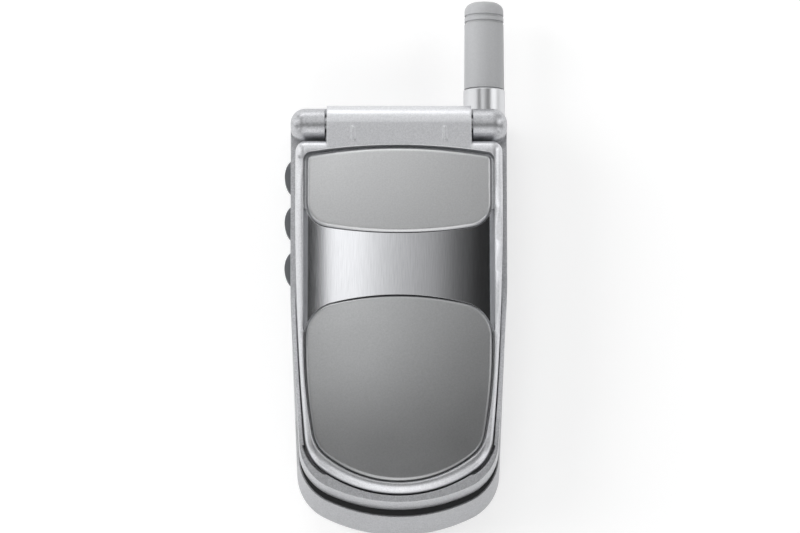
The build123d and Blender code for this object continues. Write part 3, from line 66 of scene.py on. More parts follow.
back = Vector((-math.sin(CAMERA_LEFT), -math.sin(CAMERA_TILT), math.cos(CAMERA_TILT))).normalized()
up = (Vector((0, 1, 0)) - back * back.y).normalized()
right = up.cross(back)
camera_data = bpy.data.cameras.new("camera")
camera_data.lens = LENS_MM
camera_data.sensor_width = SENSOR_MM
camera_data.clip_start = 0.05
camera = bpy.data.objects.new("camera", camera_data)
bpy.context.scene.collection.objects.link(camera)
place = CAMERA_TARGET + back * CAMERA_DISTANCE
camera.matrix_world = Matrix((
    (right.x, up.x, back.x, place.x),
    (right.y, up.y, back.y, place.y),
    (right.z, up.z, back.z, place.z),
    (0, 0, 0, 1),
))
bpy.context.scene.camera = camera
print("camera at", [round(v, 3) for v in place])

# %% [markdown]
# ## Two helpers
# Colours are written as sRGB hex, the way that a paint card gives them, and
# shaders take linear numbers, so one function turns the one into the other.
# Nodes could be placed and linked one line at a time.  One small function that
# adds any node with its settings, values and links keeps each material short
# enough to read.

# %% Colours and nodes
def linear(hex_colour):
    """An sRGB hex colour as the linear numbers that shaders take."""
    parts = [int(hex_colour[i:i + 2], 16) / 255 for i in (1, 3, 5)]
    return tuple(c / 12.92 if c <= 0.04045 else ((c + 0.055) / 1.055) ** 2.4 for c in parts) + (1.0,)


def add(tree, kind, links=None, values=None, **settings):
    """A node with its settings, its sockets' values and the sockets that feed it."""
    node = tree.nodes.new(kind)
    for name, value in settings.items():
        setattr(node, name, value)
    for socket, value in (values or {}).items():
        node.inputs[socket].default_value = value
    for socket, source in (links or {}).items():
        tree.links.new(source, node.inputs[socket])
    return node


print("middle grey is", round(linear("#808080")[0], 3), "in linear light")

# %% [markdown]
# ## The light tent
# Shiny things show what stands around them.  A silver phone gets its greys from a
# white tent with black cards in it: what faces a card turns dark, and what leans
# towards a white wall turns bright.  Cards could be built around the phone, but
# they would stand in the way of other views, so the tent is the world's own
# colour, worked out from the direction of the ray.  Two tables describe it.  Each
# row is a place, half of one plus the ray's X or Y, and the light there.

# %% The tent's tables
# From its left side to its right: white wall, dark card, bright roof that fades,
# dark card, bright strip, dim wall.
TENT_ACROSS = (
    (0.0, 1.55), (0.175, 1.60), (0.21, 0.08), (0.30, 0.03), (0.322, 0.10), (0.355, 1.85),
    (0.41, 1.70), (0.46, 1.20), (0.50, 0.92), (0.58, 0.58), (0.63, 0.22), (0.68, 0.03),
    (0.75, 0.05), (0.795, 2.0), (0.93, 2.0), (0.98, 0.90), (1.0, 0.50),
)
# From its foot to its head, as a share of that: white wall, dark card, bright roof.
TENT_ALONG = (
    (0.0, 1.50), (0.25, 1.40), (0.30, 0.65), (0.34, 0.10), (0.46, 0.05), (0.52, 0.34),
    (0.565, 0.78), (0.60, 0.93), (0.70, 1.05), (1.0, 1.15),
)

world = bpy.data.worlds.new("light_tent")
bpy.context.scene.world = world
world.use_nodes = True
tent = world.node_tree
tent.nodes.clear()
direction = add(tent, "ShaderNodeTexCoord")
sides = add(tent, "ShaderNodeSeparateXYZ", links={0: direction.outputs["Generated"]})
print("the tent has", len(TENT_ACROSS), "levels across and", len(TENT_ALONG), "along")

# %% [markdown]
# ## From a table to light
# A colour ramp could hold a table too.  A float curve is used here, because its
# points are plain pairs of a place and a level, joined by straight lines.  It stays
# between 0 and 1, so the levels are halved on the way in and doubled on the way
# out.

# %% A level from a table
CURVE_TOP = 2.0


def tent_levels(axis, levels):
    """A level for each place along one axis of the ray, as a float curve gives it."""
    along = add(tent, "ShaderNodeMapRange", links={"Value": sides.outputs[axis]},
                values={"From Min": -1.0, "From Max": 1.0})
    curve = add(tent, "ShaderNodeFloatCurve", links={"Value": along.outputs["Result"]})
    points = curve.mapping.curves[0].points
    while len(points) < len(levels):
        points.new(0.5, 0.5)
    for point, (at, level) in zip(points, levels):
        point.location = (at, level / CURVE_TOP)
        point.handle_type = "VECTOR"
    curve.mapping.update()
    doubled = add(tent, "ShaderNodeMath", operation="MULTIPLY", links={0: curve.outputs[0]},
                  values={1: CURVE_TOP})
    return doubled.outputs[0]


across = tent_levels("X", TENT_ACROSS)
along = tent_levels("Y", TENT_ALONG)
roof = add(tent, "ShaderNodeMath", operation="MULTIPLY", links={0: across, 1: along})
print("the brightest level across is", max(level for _, level in TENT_ACROSS))

# %% [markdown]
# ## The tent's two ends
# The tables describe the roof.  The walls at the foot and at the head are bright in
# their middle and dim at their sides, so that the crescent at the lid's foot fades
# towards its tips.  The wall at the head is dimmer, or the hinge's barrel would
# burn out.  Roof and walls could meet in a seam, but it would show as a line in
# the lid, so a smooth step blends them.

# %% The tent's ends
END_MIDDLE = 1.60
END_SIDE = 0.30
END_SIDE_AT = 0.7
HEAD_SHARE = 0.68
HEAD_BLEND = 0.1
ROOF_STOPS = 0.38
WALL_STARTS = 0.70

off_centre = add(tent, "ShaderNodeMath", operation="ABSOLUTE", links={0: sides.outputs["Y"]})
wall_share = add(tent, "ShaderNodeMapRange", interpolation_type="SMOOTHSTEP",
                 links={"Value": off_centre.outputs[0]},
                 values={"From Min": ROOF_STOPS, "From Max": WALL_STARTS})
off_middle = add(tent, "ShaderNodeMath", operation="ABSOLUTE", links={0: sides.outputs["X"]})
wall_level = add(tent, "ShaderNodeMapRange", links={"Value": off_middle.outputs[0]},
                 values={"From Max": END_SIDE_AT, "To Min": END_MIDDLE, "To Max": END_SIDE})
head_dims = add(tent, "ShaderNodeMapRange", links={"Value": sides.outputs["Y"]},
                values={"From Min": -HEAD_BLEND, "From Max": HEAD_BLEND, "To Min": 1.0, "To Max": HEAD_SHARE})
wall = add(tent, "ShaderNodeMath", operation="MULTIPLY",
           links={0: wall_level.outputs["Result"], 1: head_dims.outputs["Result"]})
level = add(tent, "ShaderNodeMix", data_type="FLOAT",
            links={0: wall_share.outputs["Result"], 2: roof.outputs[0], 3: wall.outputs[0]})
sky = add(tent, "ShaderNodeBackground", links={"Strength": level.outputs[0]},
          values={"Color": (1.0, 1.0, 1.0, 1.0)})
add(tent, "ShaderNodeOutputWorld", links={"Surface": sky.outputs["Background"]})

bpy.context.scene.view_settings.view_transform = "Standard"
print("the tent is made of", len(tent.nodes), "nodes")

# %% [markdown]
# ## Two lamps
# The tent alone would leave matte things flat, so a long softbox on the left models
# the antenna's cap and lays a soft shadow on the floor.  Silver already mirrors the
# tent's left wall, so that lamp is kept out of reflections.  A smaller softbox over
# the head brightens the hinge.  Point lamps could do the same, but their shadows
# would be hard; these are large for a phone, so theirs are soft.

# %% Lamps
def softbox(name, place, aim, width, length, watts):
    """A rectangular lamp at place that faces aim."""
    data = bpy.data.lights.new(name, "AREA")
    data.shape = "RECTANGLE"
    data.size = width
    data.size_y = length
    data.energy = watts
    lamp = bpy.data.objects.new(name, data)
    lamp.location = place
    lamp.rotation_euler = (Vector(aim) - Vector(place)).to_track_quat("-Z", "Y").to_euler()
    bpy.context.scene.collection.objects.link(lamp)
    return lamp


left_lamp = softbox("softbox_left", (-0.80, 0.15, 0.42), (0, 0, 0.02), 0.5, 1.0, 4.2)
left_lamp.visible_glossy = False
head_lamp = softbox("softbox_head", (-0.25, 0.85, 0.25), (0, 0.02, 0.02), 0.6, 0.3, 1.0)
print("lamps of", [round(lamp.data.energy, 1) for lamp in (left_lamp, head_lamp)], "watts")

# %% [markdown]
# ## The floor
# The phone lies on a sheet of white card: one large square that reaches far past
# the picture, a hair under the phone so that the two never share a plane.  Its
# matte finish takes the phone's soft shadow.  More light could make it white, but
# would burn out the phone, so the card shines a little by itself, for the camera
# and for what mirrors it or is looked through.

# %% Floor
FLOOR_SIZE = 8.0
FLOOR_GAP_MM = 0.02
CARD_LIFT = 0.50

floor_mesh = bpy.data.meshes.new("floor")
made = bmesh.new()
bmesh.ops.create_grid(made, x_segments=2, y_segments=2, size=FLOOR_SIZE / 2)
made.to_mesh(floor_mesh)
made.free()
floor = bpy.data.objects.new("floor", floor_mesh)
bpy.context.scene.collection.objects.link(floor)
floor.location.z = -FLOOR_GAP_MM * MM
card = bpy.data.materials.new("white_card")
card.use_nodes = True
card_shader = card.node_tree.nodes["Principled BSDF"]
card_shader.inputs["Base Color"].default_value = linear("#CFCFCF")
card_shader.inputs["Roughness"].default_value = 0.9
card_shader.inputs["Specular IOR Level"].default_value = 0.2
rays = add(card.node_tree, "ShaderNodeLightPath")
mirrored = add(card.node_tree, "ShaderNodeMath", operation="MAXIMUM",
               links={0: rays.outputs["Is Glossy Ray"], 1: rays.outputs["Is Transmission Ray"]})
seen = add(card.node_tree, "ShaderNodeMath", operation="MAXIMUM",
           links={0: rays.outputs["Is Camera Ray"], 1: mirrored.outputs[0]})
lift = add(card.node_tree, "ShaderNodeMath", operation="MULTIPLY", links={0: seen.outputs[0]},
           values={1: CARD_LIFT})
card_shader.inputs["Emission Color"].default_value = (1.0, 1.0, 1.0, 1.0)
card.node_tree.links.new(lift.outputs[0], card_shader.inputs["Emission Strength"])
floor_mesh.materials.append(card)
print("a floor of", FLOOR_SIZE, "m")

# %% [markdown]
# ## How a finish is built
# Every finish starts from one shader with a colour, a metallic share and a
# roughness.  Its patterns read Object coordinates turned to millimetres, so a
# scale of one over the grain's size gives that grain.  They could be read from a UV
# map, but the solids have none, and where a pattern here has a direction, it is an
# axis of the phone.

# %% Starting a finish
def start_finish(name, hex_colour, metallic, roughness):
    """A material, its node tree, its shader and Object coordinates in millimetres."""
    material = bpy.data.materials.new(name)
    material.use_nodes = True
    tree = material.node_tree
    shader = tree.nodes["Principled BSDF"]
    shader.inputs["Base Color"].default_value = linear(hex_colour)
    shader.inputs["Metallic"].default_value = metallic
    shader.inputs["Roughness"].default_value = roughness
    coordinates = add(tree, "ShaderNodeTexCoord")
    millimetres = add(tree, "ShaderNodeVectorMath", operation="SCALE",
                      links={0: coordinates.outputs["Object"]}, values={"Scale": 1 / MM})
    return material, tree, shader, millimetres.outputs[0]


# %% [markdown]
# ## What a pattern does to a finish
# One pattern can drive colour, roughness and relief at once, as a real grain does.
# Real mouldings have no knife edges, so a Bevel node rounds the light along edges,
# and the grain's bump rides on that.  A bevel of the mesh could do it too, but the
# solids' meshes are left as they are.

# %% Colour, roughness and relief
BEVEL_SAMPLES = 6


def mottle(tree, shader, pattern, dark_hex, light_hex):
    """The base colour runs from dark to light with a pattern's value."""
    blend = add(tree, "ShaderNodeMix", data_type="RGBA", links={0: pattern},
                values={6: linear(dark_hex), 7: linear(light_hex)})
    tree.links.new(blend.outputs[2], shader.inputs["Base Color"])


def vary_roughness(tree, shader, pattern, low, high):
    """The roughness runs from low to high with a pattern's value."""
    spread = add(tree, "ShaderNodeMapRange", links={"Value": pattern},
                 values={"To Min": low, "To Max": high})
    tree.links.new(spread.outputs["Result"], shader.inputs["Roughness"])


def relief(tree, shader, pattern, depth_mm, edge_mm):
    """Rounds the light along edges by edge_mm and raises a pattern by depth_mm."""
    rounded = add(tree, "ShaderNodeBevel", samples=BEVEL_SAMPLES, values={"Radius": edge_mm * MM})
    bump = add(tree, "ShaderNodeBump", links={"Height": pattern, "Normal": rounded.outputs["Normal"]},
               values={"Strength": 1.0, "Distance": depth_mm * MM})
    tree.links.new(bump.outputs["Normal"], shader.inputs["Normal"])


# %% [markdown]
# ## Silver lacquer on moulded ABS
# The housings are plastic, sprayed with a lacquer that carries fine aluminium
# flakes.  The flakes are finer than a picture can show, so they are drawn a fifth
# of a millimetre wide: cells that each differ a little in tone.  A slow cloudiness
# in roughness is what handling leaves on it.  A clear coat could lie over it, but
# this lacquer is satin, and a coat would draw a second, sharper reflection.
# The lid's coat is the brightest and smoothest.  The back's is the roughest, and
# its colour is painted shade: darker than the front's, for the shadow next to the floor.
# The light on the lid's edges is rounded by half a millimetre, which also softens
# the facets of its fillets, though a low light still finds a few.

# %% Silver lacquer
FLAKE_MM = 0.20
FLAKE_RELIEF_MM = 0.002
CLOUD_MM = 9.0
LACQUER_SPREAD = 0.05


def silver_lacquer(name, dark_hex, light_hex, metallic, roughness, edge_mm):
    """Sprayed silver: flakes, a cloudy gloss and softened edges."""
    material, tree, shader, mm = start_finish(name, light_hex, metallic, roughness)
    flakes = add(tree, "ShaderNodeTexVoronoi", links={"Vector": mm}, values={"Scale": 1 / FLAKE_MM})
    tone = add(tree, "ShaderNodeSeparateColor", links={0: flakes.outputs["Color"]})
    mottle(tree, shader, tone.outputs[0], dark_hex, light_hex)
    clouds = add(tree, "ShaderNodeTexNoise", links={"Vector": mm},
                 values={"Scale": 1 / CLOUD_MM, "Detail": 3.0})
    vary_roughness(tree, shader, clouds.outputs[0], roughness - LACQUER_SPREAD, roughness + LACQUER_SPREAD)
    relief(tree, shader, tone.outputs[0], FLAKE_RELIEF_MM, edge_mm)
    return material


body_lacquer = silver_lacquer("silver_lacquer_on_abs", "#B2B3B6", "#CBCCCF", 0.85, 0.36, 0.3)
# The back's darker colours are painted shade, for the shadow that falls next to the floor.
lacquer_with_painted_shade = silver_lacquer("silver_lacquer_darkened_as_painted_shade", "#A0A1A4", "#B9BABD", 0.85, 0.38, 0.3)
lid_lacquer = silver_lacquer("bright_silver_lacquer_on_abs", "#D1D2D5", "#E1E2E5", 0.92, 0.34, 0.5)
print("lacquers:", body_lacquer.name, lacquer_with_painted_shade.name, lid_lacquer.name)

# %% [markdown]
# ## Satin paint on the lid's two panels
# The panels set into the lid feel like fine powder: a satin metallic paint with a
# soft tooth.  Its grain is about a third of a millimetre, just wide enough to be
# seen, and gives the even, dusty grey of the real thing.  Grey plastic could have
# the same colour, but would not turn brighter and darker with the angle, as
# metallic paint does.

# %% Satin paint
GRAIN_MM = 0.32
GRAIN_RELIEF_MM = 0.006
PAINT_EDGE_MM = 0.2
PAINT_METALLIC = 0.85
PAINT_SPREAD = 0.04


def satin_paint(name, dark_hex, light_hex, roughness):
    """Matte metallic paint with a fine tooth."""
    material, tree, shader, mm = start_finish(name, light_hex, PAINT_METALLIC, roughness)
    grain = add(tree, "ShaderNodeTexNoise", links={"Vector": mm},
                values={"Scale": 1 / GRAIN_MM, "Detail": 2.0, "Roughness": 0.6})
    mottle(tree, shader, grain.outputs[0], dark_hex, light_hex)
    clouds = add(tree, "ShaderNodeTexNoise", links={"Vector": mm},
                 values={"Scale": 1 / CLOUD_MM, "Detail": 2.0})
    vary_roughness(tree, shader, clouds.outputs[0], roughness - PAINT_SPREAD, roughness + PAINT_SPREAD)
    relief(tree, shader, grain.outputs[0], GRAIN_RELIEF_MM, PAINT_EDGE_MM)
    return material


panel_paint = satin_paint("satin_metallic_paint", "#C6C7C8", "#DEDFE0", 0.38)
pad_paint = satin_paint("satin_metallic_paint_pad", "#9C9D9E", "#B6B7B8", 0.33)
print("paints:", panel_paint.name, pad_paint.name)

# %% [markdown]
# ## Plated band across the waist
# The band is bright nickel plate, drawn across the lid so that hairlines run along
# Y.  A metal keeps its default IOR; its colour is its reflection.  The shader's own
# anisotropy could smear the reflection, but would show no lines, so the hairlines
# are noise stretched thirty times along Y, about a tenth of a millimetre apart.

# %% Drawn nickel plate
HAIRLINE_MM = 0.12
HAIRLINE_STRETCH = 30.0

band_plate, tree, shader, mm = start_finish("drawn_nickel_plate", "#D4D5D8", 1.0, 0.16)
drawn = add(tree, "ShaderNodeVectorMath", operation="MULTIPLY", links={0: mm},
            values={1: (1.0, 1 / HAIRLINE_STRETCH, 1.0)})
hairlines = add(tree, "ShaderNodeTexNoise", links={"Vector": drawn.outputs[0]},
                values={"Scale": 1 / HAIRLINE_MM, "Detail": 2.0})
mottle(tree, shader, hairlines.outputs[0], "#C2C3C6", "#E0E1E4")
vary_roughness(tree, shader, hairlines.outputs[0], 0.08, 0.15)
relief(tree, shader, hairlines.outputs[0], 0.001, 0.12)
print("plate:", band_plate.name)

# %% [markdown]
# ## Turned chrome on the antenna's collar
# The collar is turned on a lathe and plated.  The turning marks are rings around
# the antenna's axis.  They could be cut into the mesh, but they are so fine that
# they only break up the reflection a little, so they are noise that changes fast
# along Y and hardly at all across X and Z.

# %% Turned chrome
TURNING_MM = 0.15
RING_STRETCH = 0.05

collar_chrome, tree, shader, mm = start_finish("turned_chrome", "#DADBDD", 1.0, 0.16)
rings = add(tree, "ShaderNodeVectorMath", operation="MULTIPLY", links={0: mm},
            values={1: (RING_STRETCH, 1.0, RING_STRETCH)})
turning = add(tree, "ShaderNodeTexNoise", links={"Vector": rings.outputs[0]},
              values={"Scale": 1 / TURNING_MM, "Detail": 1.0})
vary_roughness(tree, shader, turning.outputs[0], 0.29, 0.37)
relief(tree, shader, turning.outputs[0], 0.001, 0.15)
print("chrome:", collar_chrome.name)

# %% [markdown]
# ## Rubbers and plastics
# The antenna's cap is grey moulded plastic with a soft sheen, the side buttons and
# the seal are rubber, and the cover inside the lid is a spark-eroded moulding, a
# texture like fine leather without its creases.  Each could have nodes of its own,
# but they differ only in colour, gloss and the size and depth of their texture, so
# one helper makes them all.

# %% Moulded finishes
MOULD_SPREAD = 0.06


def moulded(name, dark_hex, light_hex, roughness, grain_mm, depth_mm, edge_mm=0.15):
    """Rubber or plastic from a textured mould."""
    material, tree, shader, mm = start_finish(name, light_hex, 0.0, roughness)
    grain = add(tree, "ShaderNodeTexNoise", links={"Vector": mm},
                values={"Scale": 1 / grain_mm, "Detail": 3.0, "Roughness": 0.55})
    mottle(tree, shader, grain.outputs[0], dark_hex, light_hex)
    vary_roughness(tree, shader, grain.outputs[0], roughness - MOULD_SPREAD, roughness + MOULD_SPREAD)
    relief(tree, shader, grain.outputs[0], depth_mm, edge_mm)
    return material


cap_plastic = moulded("soft_grey_polyurethane", "#AEAFB1", "#BEBFC1", 0.42, 0.35, 0.004, 0.2)
button_rubber = moulded("dark_silicone_rubber", "#5E6063", "#6C6E71", 0.50, 0.30, 0.006, 0.3)
seal_rubber = moulded("black_rubber", "#0E0F10", "#17181A", 0.55, 0.30, 0.005)
inner_plastic = moulded("spark_eroded_abs", "#3B3D40", "#4A4C50", 0.55, 0.22, 0.012)
black_plastic = moulded("black_nylon", "#101113", "#1A1B1D", 0.45, 0.30, 0.006)
battery_plastic = moulded("charcoal_polycarbonate", "#232427", "#2E3033", 0.42, 0.25, 0.006)
mat_rubber = moulded("clear_silicone_rubber", "#B9BAB4", "#CFD0CA", 0.45, 0.50, 0.004)
card_plastic = moulded("white_pvc", "#E4E4E2", "#F0F0EE", 0.40, 0.50, 0.002)
film_plastic = moulded("amber_polyimide_film", "#8A4A12", "#B0651C", 0.35, 0.60, 0.002)
board_mask = moulded("green_solder_mask", "#0E3A20", "#155030", 0.35, 0.25, 0.006)
print("moulded finishes from", cap_plastic.name, "to", board_mask.name)

# %% [markdown]
# ## Keys
# The keys are silicone under a hard clear shell, pearl grey and lit from below
# through the domes' mat.  A clear shell over a white core would be closer to how
# they are made, but slow to render.  A little light that scatters under the
# surface keeps their edges as soft, and a thin coat their tops as glossy.

# %% Key finish
PEARL_MM = 0.9
SCATTER_MM = 0.8

key_shell, tree, shader, mm = start_finish("pearl_polycarbonate", "#C9CCCD", 0.10, 0.28)
shader.inputs["Subsurface Weight"].default_value = 0.15
shader.inputs["Subsurface Scale"].default_value = SCATTER_MM * MM
shader.inputs["Coat Weight"].default_value = 0.4
pearl = add(tree, "ShaderNodeTexNoise", links={"Vector": mm},
            values={"Scale": 1 / PEARL_MM, "Detail": 3.0})
mottle(tree, shader, pearl.outputs[0], "#BDC0C2", "#D3D6D7")
relief(tree, shader, pearl.outputs[0], 0.002, 0.15)
print("keys:", key_shell.name)

# %% [markdown]
# ## Metals inside
# Tinned sheet for the shields, turned steel for pins and shafts, brass under a thin
# tarnish for the antenna's coil, and sintered tungsten for the motor's weight.  The
# whip and the springs are drawn wire, but share the steel's finish.  A picture of
# scratched metal could be wrapped on them, but its marks would not know their size.
# Noise does: sheet gets streaks along X, steel gets marks along Y, and the other
# two get even grains.

# %% Metals inside
SCRATCH_MM = 0.15
METAL_SPREAD = 0.07


def plain_metal(name, dark_hex, light_hex, roughness, streak):
    """A bare metal; a small number in streak draws its marks out along that axis."""
    material, tree, shader, mm = start_finish(name, light_hex, 1.0, roughness)
    marks = add(tree, "ShaderNodeVectorMath", operation="MULTIPLY", links={0: mm}, values={1: streak})
    scratches = add(tree, "ShaderNodeTexNoise", links={"Vector": marks.outputs[0]},
                    values={"Scale": 1 / SCRATCH_MM, "Detail": 2.0})
    mottle(tree, shader, scratches.outputs[0], dark_hex, light_hex)
    vary_roughness(tree, shader, scratches.outputs[0], roughness - METAL_SPREAD, roughness + METAL_SPREAD)
    relief(tree, shader, scratches.outputs[0], 0.001, 0.1)
    return material


tinned_sheet = plain_metal("tinned_sheet_steel", "#9A9B98", "#B5B6B2", 0.34, (0.05, 1.0, 1.0))
turned_steel = plain_metal("turned_stainless_steel", "#8E8F91", "#A9AAAC", 0.26, (1.0, 0.08, 1.0))
coil_brass = plain_metal("tarnished_brass", "#8A6A30", "#B48E48", 0.32, (1.0, 1.0, 1.0))
tungsten = plain_metal("sintered_tungsten", "#6A6B6E", "#808184", 0.42, (1.0, 1.0, 1.0))
print("metals from", tinned_sheet.name, "to", tungsten.name)

# %% [markdown]
# ## Lens and display
# The lens is clear acrylic.  It could be left out, as a clean window hardly shows,
# but light bends and glints in a real one, so it transmits, with acrylic's IOR of
# 1.49.  The display behind it is a grey-green reflective glass with pixels a third
# of a millimetre apart, drawn as bricks without an offset.

# %% Lens and display
ACRYLIC_IOR = 1.49
PIXEL_MM = 0.33

lens_acrylic, tree, shader, mm = start_finish("clear_acrylic", "#F4F7F5", 0.0, 0.04)
shader.inputs["Transmission Weight"].default_value = 1.0
shader.inputs["IOR"].default_value = ACRYLIC_IOR

lcd_glass, tree, shader, mm = start_finish("reflective_lcd_glass", "#8E9A86", 0.0, 0.22)
flat = add(tree, "ShaderNodeVectorMath", operation="MULTIPLY", links={0: mm},
           values={1: (1.0, 1.0, 0.0)})
pixels = add(tree, "ShaderNodeTexBrick", links={"Vector": flat.outputs[0]}, offset=0.0,
             values={"Color1": linear("#8F9C86"), "Color2": linear("#96A38D"), "Mortar": linear("#7C8874"),
                     "Scale": 1.0, "Mortar Size": 0.03, "Brick Width": PIXEL_MM, "Row Height": PIXEL_MM})
tree.links.new(pixels.outputs["Color"], shader.inputs["Base Color"])
shader.inputs["Coat Weight"].default_value = 0.5
print("window:", lens_acrylic.name, "over", lcd_glass.name)

# %% [markdown]
# ## Which solid gets which finish
# Each finish could be put on where it is made, but then nobody sees what is left
# out.  One table names the finish of every solid, and a loop puts it on.  A solid
# that the table forgets stops the lesson here, so nothing is left in the grey that
# it was loaded with.

# %% Dress the solids
keys = sorted(name for name in nodes if name.startswith("key_"))
side_buttons = sorted(name for name in nodes if name.startswith("side_button_"))
dress = {
    body_lacquer: ["front_housing"],
    lacquer_with_painted_shade: ["back_housing", "battery_cover"],
    lid_lacquer: ["flip_outer_shell"],
    panel_paint: ["upper_panel"],
    pad_paint: ["lower_pad"],
    band_plate: ["waist_band"],
    collar_chrome: ["antenna_collar"],
    cap_plastic: ["antenna_cap"],
    button_rubber: side_buttons + ["battery_latch"],
    seal_rubber: ["parting_seal", "flip_bumpers", "earpiece_gasket"],
    inner_plastic: ["flip_inner_cover"],
    black_plastic: ["accessory_port", "battery_contacts", "display_module"],
    battery_plastic: ["battery_pack"],
    mat_rubber: ["keypad_mat"],
    card_plastic: ["sim_card"],
    film_plastic: ["flip_flex"],
    board_mask: ["main_board", "side_switches"],
    key_shell: keys,
    tinned_sheet: ["shield_cans", "sim_holder", "vibration_motor", "microphone", "earpiece", "dome_sheet"],
    turned_steel: ["antenna_whip", "hinge_pin", "hinge_shaft", "hinge_module", "hinge_follower",
                   "hinge_spring", "latch_spring", "housing_screws", "flip_magnet"],
    coil_brass: ["antenna_coil", "antenna_contact"],
    tungsten: ["vibration_weight"],
    lens_acrylic: ["display_lens"],
}
bare = set(nodes)
for material, names in dress.items():
    for name in names:
        mesh = nodes[name].data
        mesh.materials.clear()
        mesh.materials.append(material)
        bare.discard(name)
if bare:
    raise RuntimeError(f"no finish for {sorted(bare)}")
print(len(dress), "finishes on", len(nodes), "solids")

# %% [markdown]
# ## Helpers for new pieces
# A new piece is made in a bmesh, its place is in its mesh, and its object sits at
# the origin, as the solids do.  Its faces are turned outwards before it is kept.
# Thin printed or woven things start flat and are pushed up by their thickness.  A
# Solidify modifier could do that as well, but two operators keep it in the mesh.

# %% Keeping a piece
def thicken(made, thickness_mm):
    """Pushes a flat bmesh up into a plate."""
    grown = bmesh.ops.extrude_face_region(made, geom=made.faces[:])
    bmesh.ops.translate(made, vec=(0, 0, thickness_mm * MM),
                        verts=[v for v in grown["geom"] if isinstance(v, bmesh.types.BMVert)])


def keep_piece(name, made, material, body):
    """Turns a bmesh into a piece that rides on a body."""
    bmesh.ops.remove_doubles(made, verts=made.verts, dist=1e-7)
    bmesh.ops.recalc_face_normals(made, faces=made.faces)
    mesh = bpy.data.meshes.new(name)
    made.to_mesh(mesh)
    made.free()
    mesh.materials.append(material)
    piece = bpy.data.objects.new(name, mesh)
    bpy.context.scene.collection.objects.link(piece)
    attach(piece, body)
    return piece


# %% [markdown]
# ## The display's glass
# Behind the lens lies the display's glass, a thin plate on the display's module.
# A plane could show the same face from above, but a plate has the fine bright edge
# of cut glass.  It is a cube scaled to its three sizes, with its edges ground off
# by a small bevel.

# %% Display glass
GLASS_MM = (23.6, 17.4, 0.3)
GLASS_LIFT_MM = 0.16
GROUND_EDGE_MM = 0.05

module_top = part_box("display_module")[1].z
lens_low, lens_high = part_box("display_lens")
lens_middle = (lens_low + lens_high) / 2
made = bmesh.new()
bmesh.ops.create_cube(made, size=1.0)
bmesh.ops.scale(made, vec=Vector(GLASS_MM) * MM, verts=made.verts)
bmesh.ops.translate(made, vec=(lens_middle.x, lens_middle.y, module_top + GLASS_LIFT_MM * MM),
                    verts=made.verts)
bmesh.ops.bevel(made, geom=made.edges, offset=GROUND_EDGE_MM * MM, offset_type="OFFSET", segments=1,
                profile=0.5, affect="EDGES", material=-1)
display_glass = keep_piece("display_glass", made, lcd_glass, "base")
print("display glass:", len(display_glass.data.polygons), "faces")

# %% [markdown]
# ## The lens's printed mask
# The black border that hides the glass's edges is printed on the back of the lens.
# A material could paint it, with a rule for where the border lies, but as a piece
# it has a sharp edge at any distance.  A flat sheet is inset from its border, its
# middle is taken out, and the frame that is left gets a hair of thickness.

# %% Lens mask
MASK_BORDER_MM = 2.4
MASK_MARGIN_MM = 0.4
MASK_GAP_MM = 0.06
MASK_THICKNESS_MM = 0.04

made = bmesh.new()
bmesh.ops.create_grid(made, x_segments=1, y_segments=1, size=0.5)
bmesh.ops.scale(made, vec=(lens_high.x - lens_low.x - MASK_MARGIN_MM * MM,
                           lens_high.y - lens_low.y - MASK_MARGIN_MM * MM, 1), verts=made.verts)
bmesh.ops.translate(made, vec=(lens_middle.x, lens_middle.y, lens_low.z - MASK_GAP_MM * MM),
                    verts=made.verts)
rim = bmesh.ops.inset_region(made, faces=made.faces[:], thickness=MASK_BORDER_MM * MM, use_boundary=True,
                             use_even_offset=True)
inner = [face for face in made.faces if face not in rim["faces"]]
bmesh.ops.delete(made, geom=inner, context="FACES")
thicken(made, MASK_THICKNESS_MM)
lens_mask = keep_piece("lens_mask", made, black_plastic, "base")
print("lens mask:", len(lens_mask.data.polygons), "faces, on a lens of",
      [round(v / MM, 2) for v in lens_high - lens_low], "mm")

# %% [markdown]
# ## Cloth behind the sound slots
# The slots in the lid's inner cover have a woven cloth behind them that keeps dust
# from the earpiece.  Its threads could be modelled one by one, but only slivers of
# it show, so it is a thin disc with the weave in its material: two waves that cross
# at right angles make the hills of threads a third of a millimetre apart.

# %% Dust cloth
THREAD_MM = 0.35
WEAVE_RELIEF_MM = 0.05
CLOTH_RADIUS_MM = 5.4
CLOTH_GAP_MM = 0.06
CLOTH_THICKNESS_MM = 0.1

cloth, tree, shader, mm = start_finish("woven_nylon_cloth", "#26272A", 0.0, 0.75)
warp, weft = [add(tree, "ShaderNodeTexWave", links={"Vector": mm}, bands_direction=way,
                  values={"Scale": math.pi / 10 / THREAD_MM}) for way in "XY"]
weave = add(tree, "ShaderNodeMath", operation="MAXIMUM",
            links={0: warp.outputs["Fac"], 1: weft.outputs["Fac"]})
mottle(tree, shader, weave.outputs[0], "#141517", "#34363A")
relief(tree, shader, weave.outputs[0], WEAVE_RELIEF_MM, 0.05)

gasket_low, gasket_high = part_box("earpiece_gasket")
gasket_middle = (gasket_low + gasket_high) / 2
made = bmesh.new()
bmesh.ops.create_circle(made, cap_ends=True, segments=64, radius=CLOTH_RADIUS_MM * MM)
bmesh.ops.translate(made, vec=(gasket_middle.x, gasket_middle.y, gasket_low.z + CLOTH_GAP_MM * MM),
                    verts=made.verts)
thicken(made, CLOTH_THICKNESS_MM)
dust_cloth = keep_piece("dust_cloth", made, cloth, "flip")
print("dust cloth:", round(dust_cloth.dimensions.x / MM, 1), "mm across")

# %% [markdown]
# ## Figures on the keys
# On real keys the figures are printed under the clear shell.  Here they lie on it,
# as thin as a film of ink.  Each is a text curve made into a mesh.  The curve
# itself could ride on the key, but a mesh can be centred by its own points, and a
# letter's origin is not in its middle.

# %% Figures on the keys
FIGURE_MM = 3.1
INK_MM = 0.02

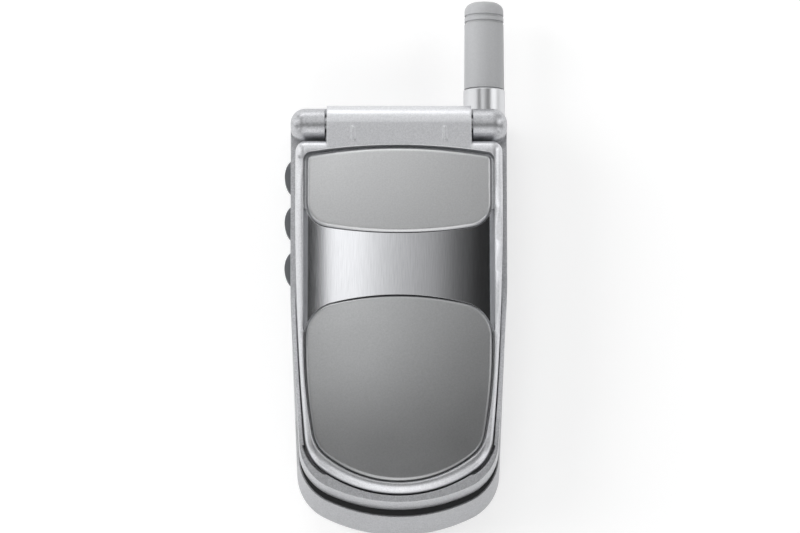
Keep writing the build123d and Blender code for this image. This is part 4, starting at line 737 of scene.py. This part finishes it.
ink = moulded("charcoal_ink", "#2A2C30", "#34363A", 0.5, 0.4, 0.001, 0.02)
figures = {f"key_{n}": str(n) for n in range(10)}
figures.update(key_star="*", key_hash="#")


def key_top(key):
    """The middle of the ink on a key's top."""
    low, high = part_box(key)
    return Vector(((low.x + high.x) / 2, (low.y + high.y) / 2, high.z + INK_MM / 2 * MM))


def printed_figure(name, text, key, size_mm, material):
    """A flat figure on a key's top, riding with the key."""
    curve = bpy.data.curves.new(name, "FONT")
    curve.body = text
    curve.size = size_mm * MM
    curve.align_x = "CENTER"
    curve.extrude = INK_MM / 2 * MM
    holder = bpy.data.objects.new(name + "_curve", curve)
    bpy.context.scene.collection.objects.link(holder)
    bpy.context.view_layer.update()
    mesh = bpy.data.meshes.new_from_object(holder.evaluated_get(bpy.context.evaluated_depsgraph_get()))
    bpy.data.objects.remove(holder)
    made = bmesh.new()
    made.from_mesh(mesh)
    ys = [v.co.y for v in made.verts]
    xs = [v.co.x for v in made.verts]
    middle = Vector(((min(xs) + max(xs)) / 2, (min(ys) + max(ys)) / 2, 0))
    bmesh.ops.translate(made, vec=key_top(key) - middle, verts=made.verts)
    return keep_piece(name, made, material, key + "_body")


for key, text in figures.items():
    printed_figure("figure_" + key[4:], text, key, FIGURE_MM, ink)
print(len(figures), "figures printed")

# %% [markdown]
# ## Signs on the function keys
# Three signs that every phone of the kind has: a green bar that takes a call, a
# red one that ends it, and a dot on the menu key.  They could be letters of a
# symbol font, but a font may be missing, so they are thin plates whose upright
# edges are rounded by a bevel.

# %% Signs on the function keys
BAR_MM = (3.0, 0.9)
DOT_MM = (1.2, 1.2)
BAR_ROUNDING = 0.48

green_ink = moulded("green_ink", "#1E7A3C", "#26904A", 0.45, 0.4, 0.001, 0.02)
red_ink = moulded("red_ink", "#A3231F", "#BC2C27", 0.45, 0.4, 0.001, 0.02)


def printed_bar(name, key, size_mm, material):
    """A bar with rounded ends on a key's top."""
    made = bmesh.new()
    bmesh.ops.create_cube(made, size=1.0)
    bmesh.ops.scale(made, vec=Vector((*size_mm, INK_MM)) * MM, verts=made.verts)
    upright = [e for e in made.edges if abs((e.verts[0].co - e.verts[1].co).z) > 0.5 * INK_MM * MM]
    bmesh.ops.bevel(made, geom=upright, offset=min(size_mm) * BAR_ROUNDING * MM, offset_type="OFFSET",
                    segments=6, profile=0.5, affect="EDGES", material=-1)
    bmesh.ops.translate(made, vec=key_top(key), verts=made.verts)
    return keep_piece(name, made, material, key + "_body")


signs = [printed_bar("sign_send", "key_send", BAR_MM, green_ink),
         printed_bar("sign_end", "key_end", BAR_MM, red_ink),
         printed_bar("sign_menu", "key_menu", DOT_MM, ink)]
print(len(signs), "signs printed")
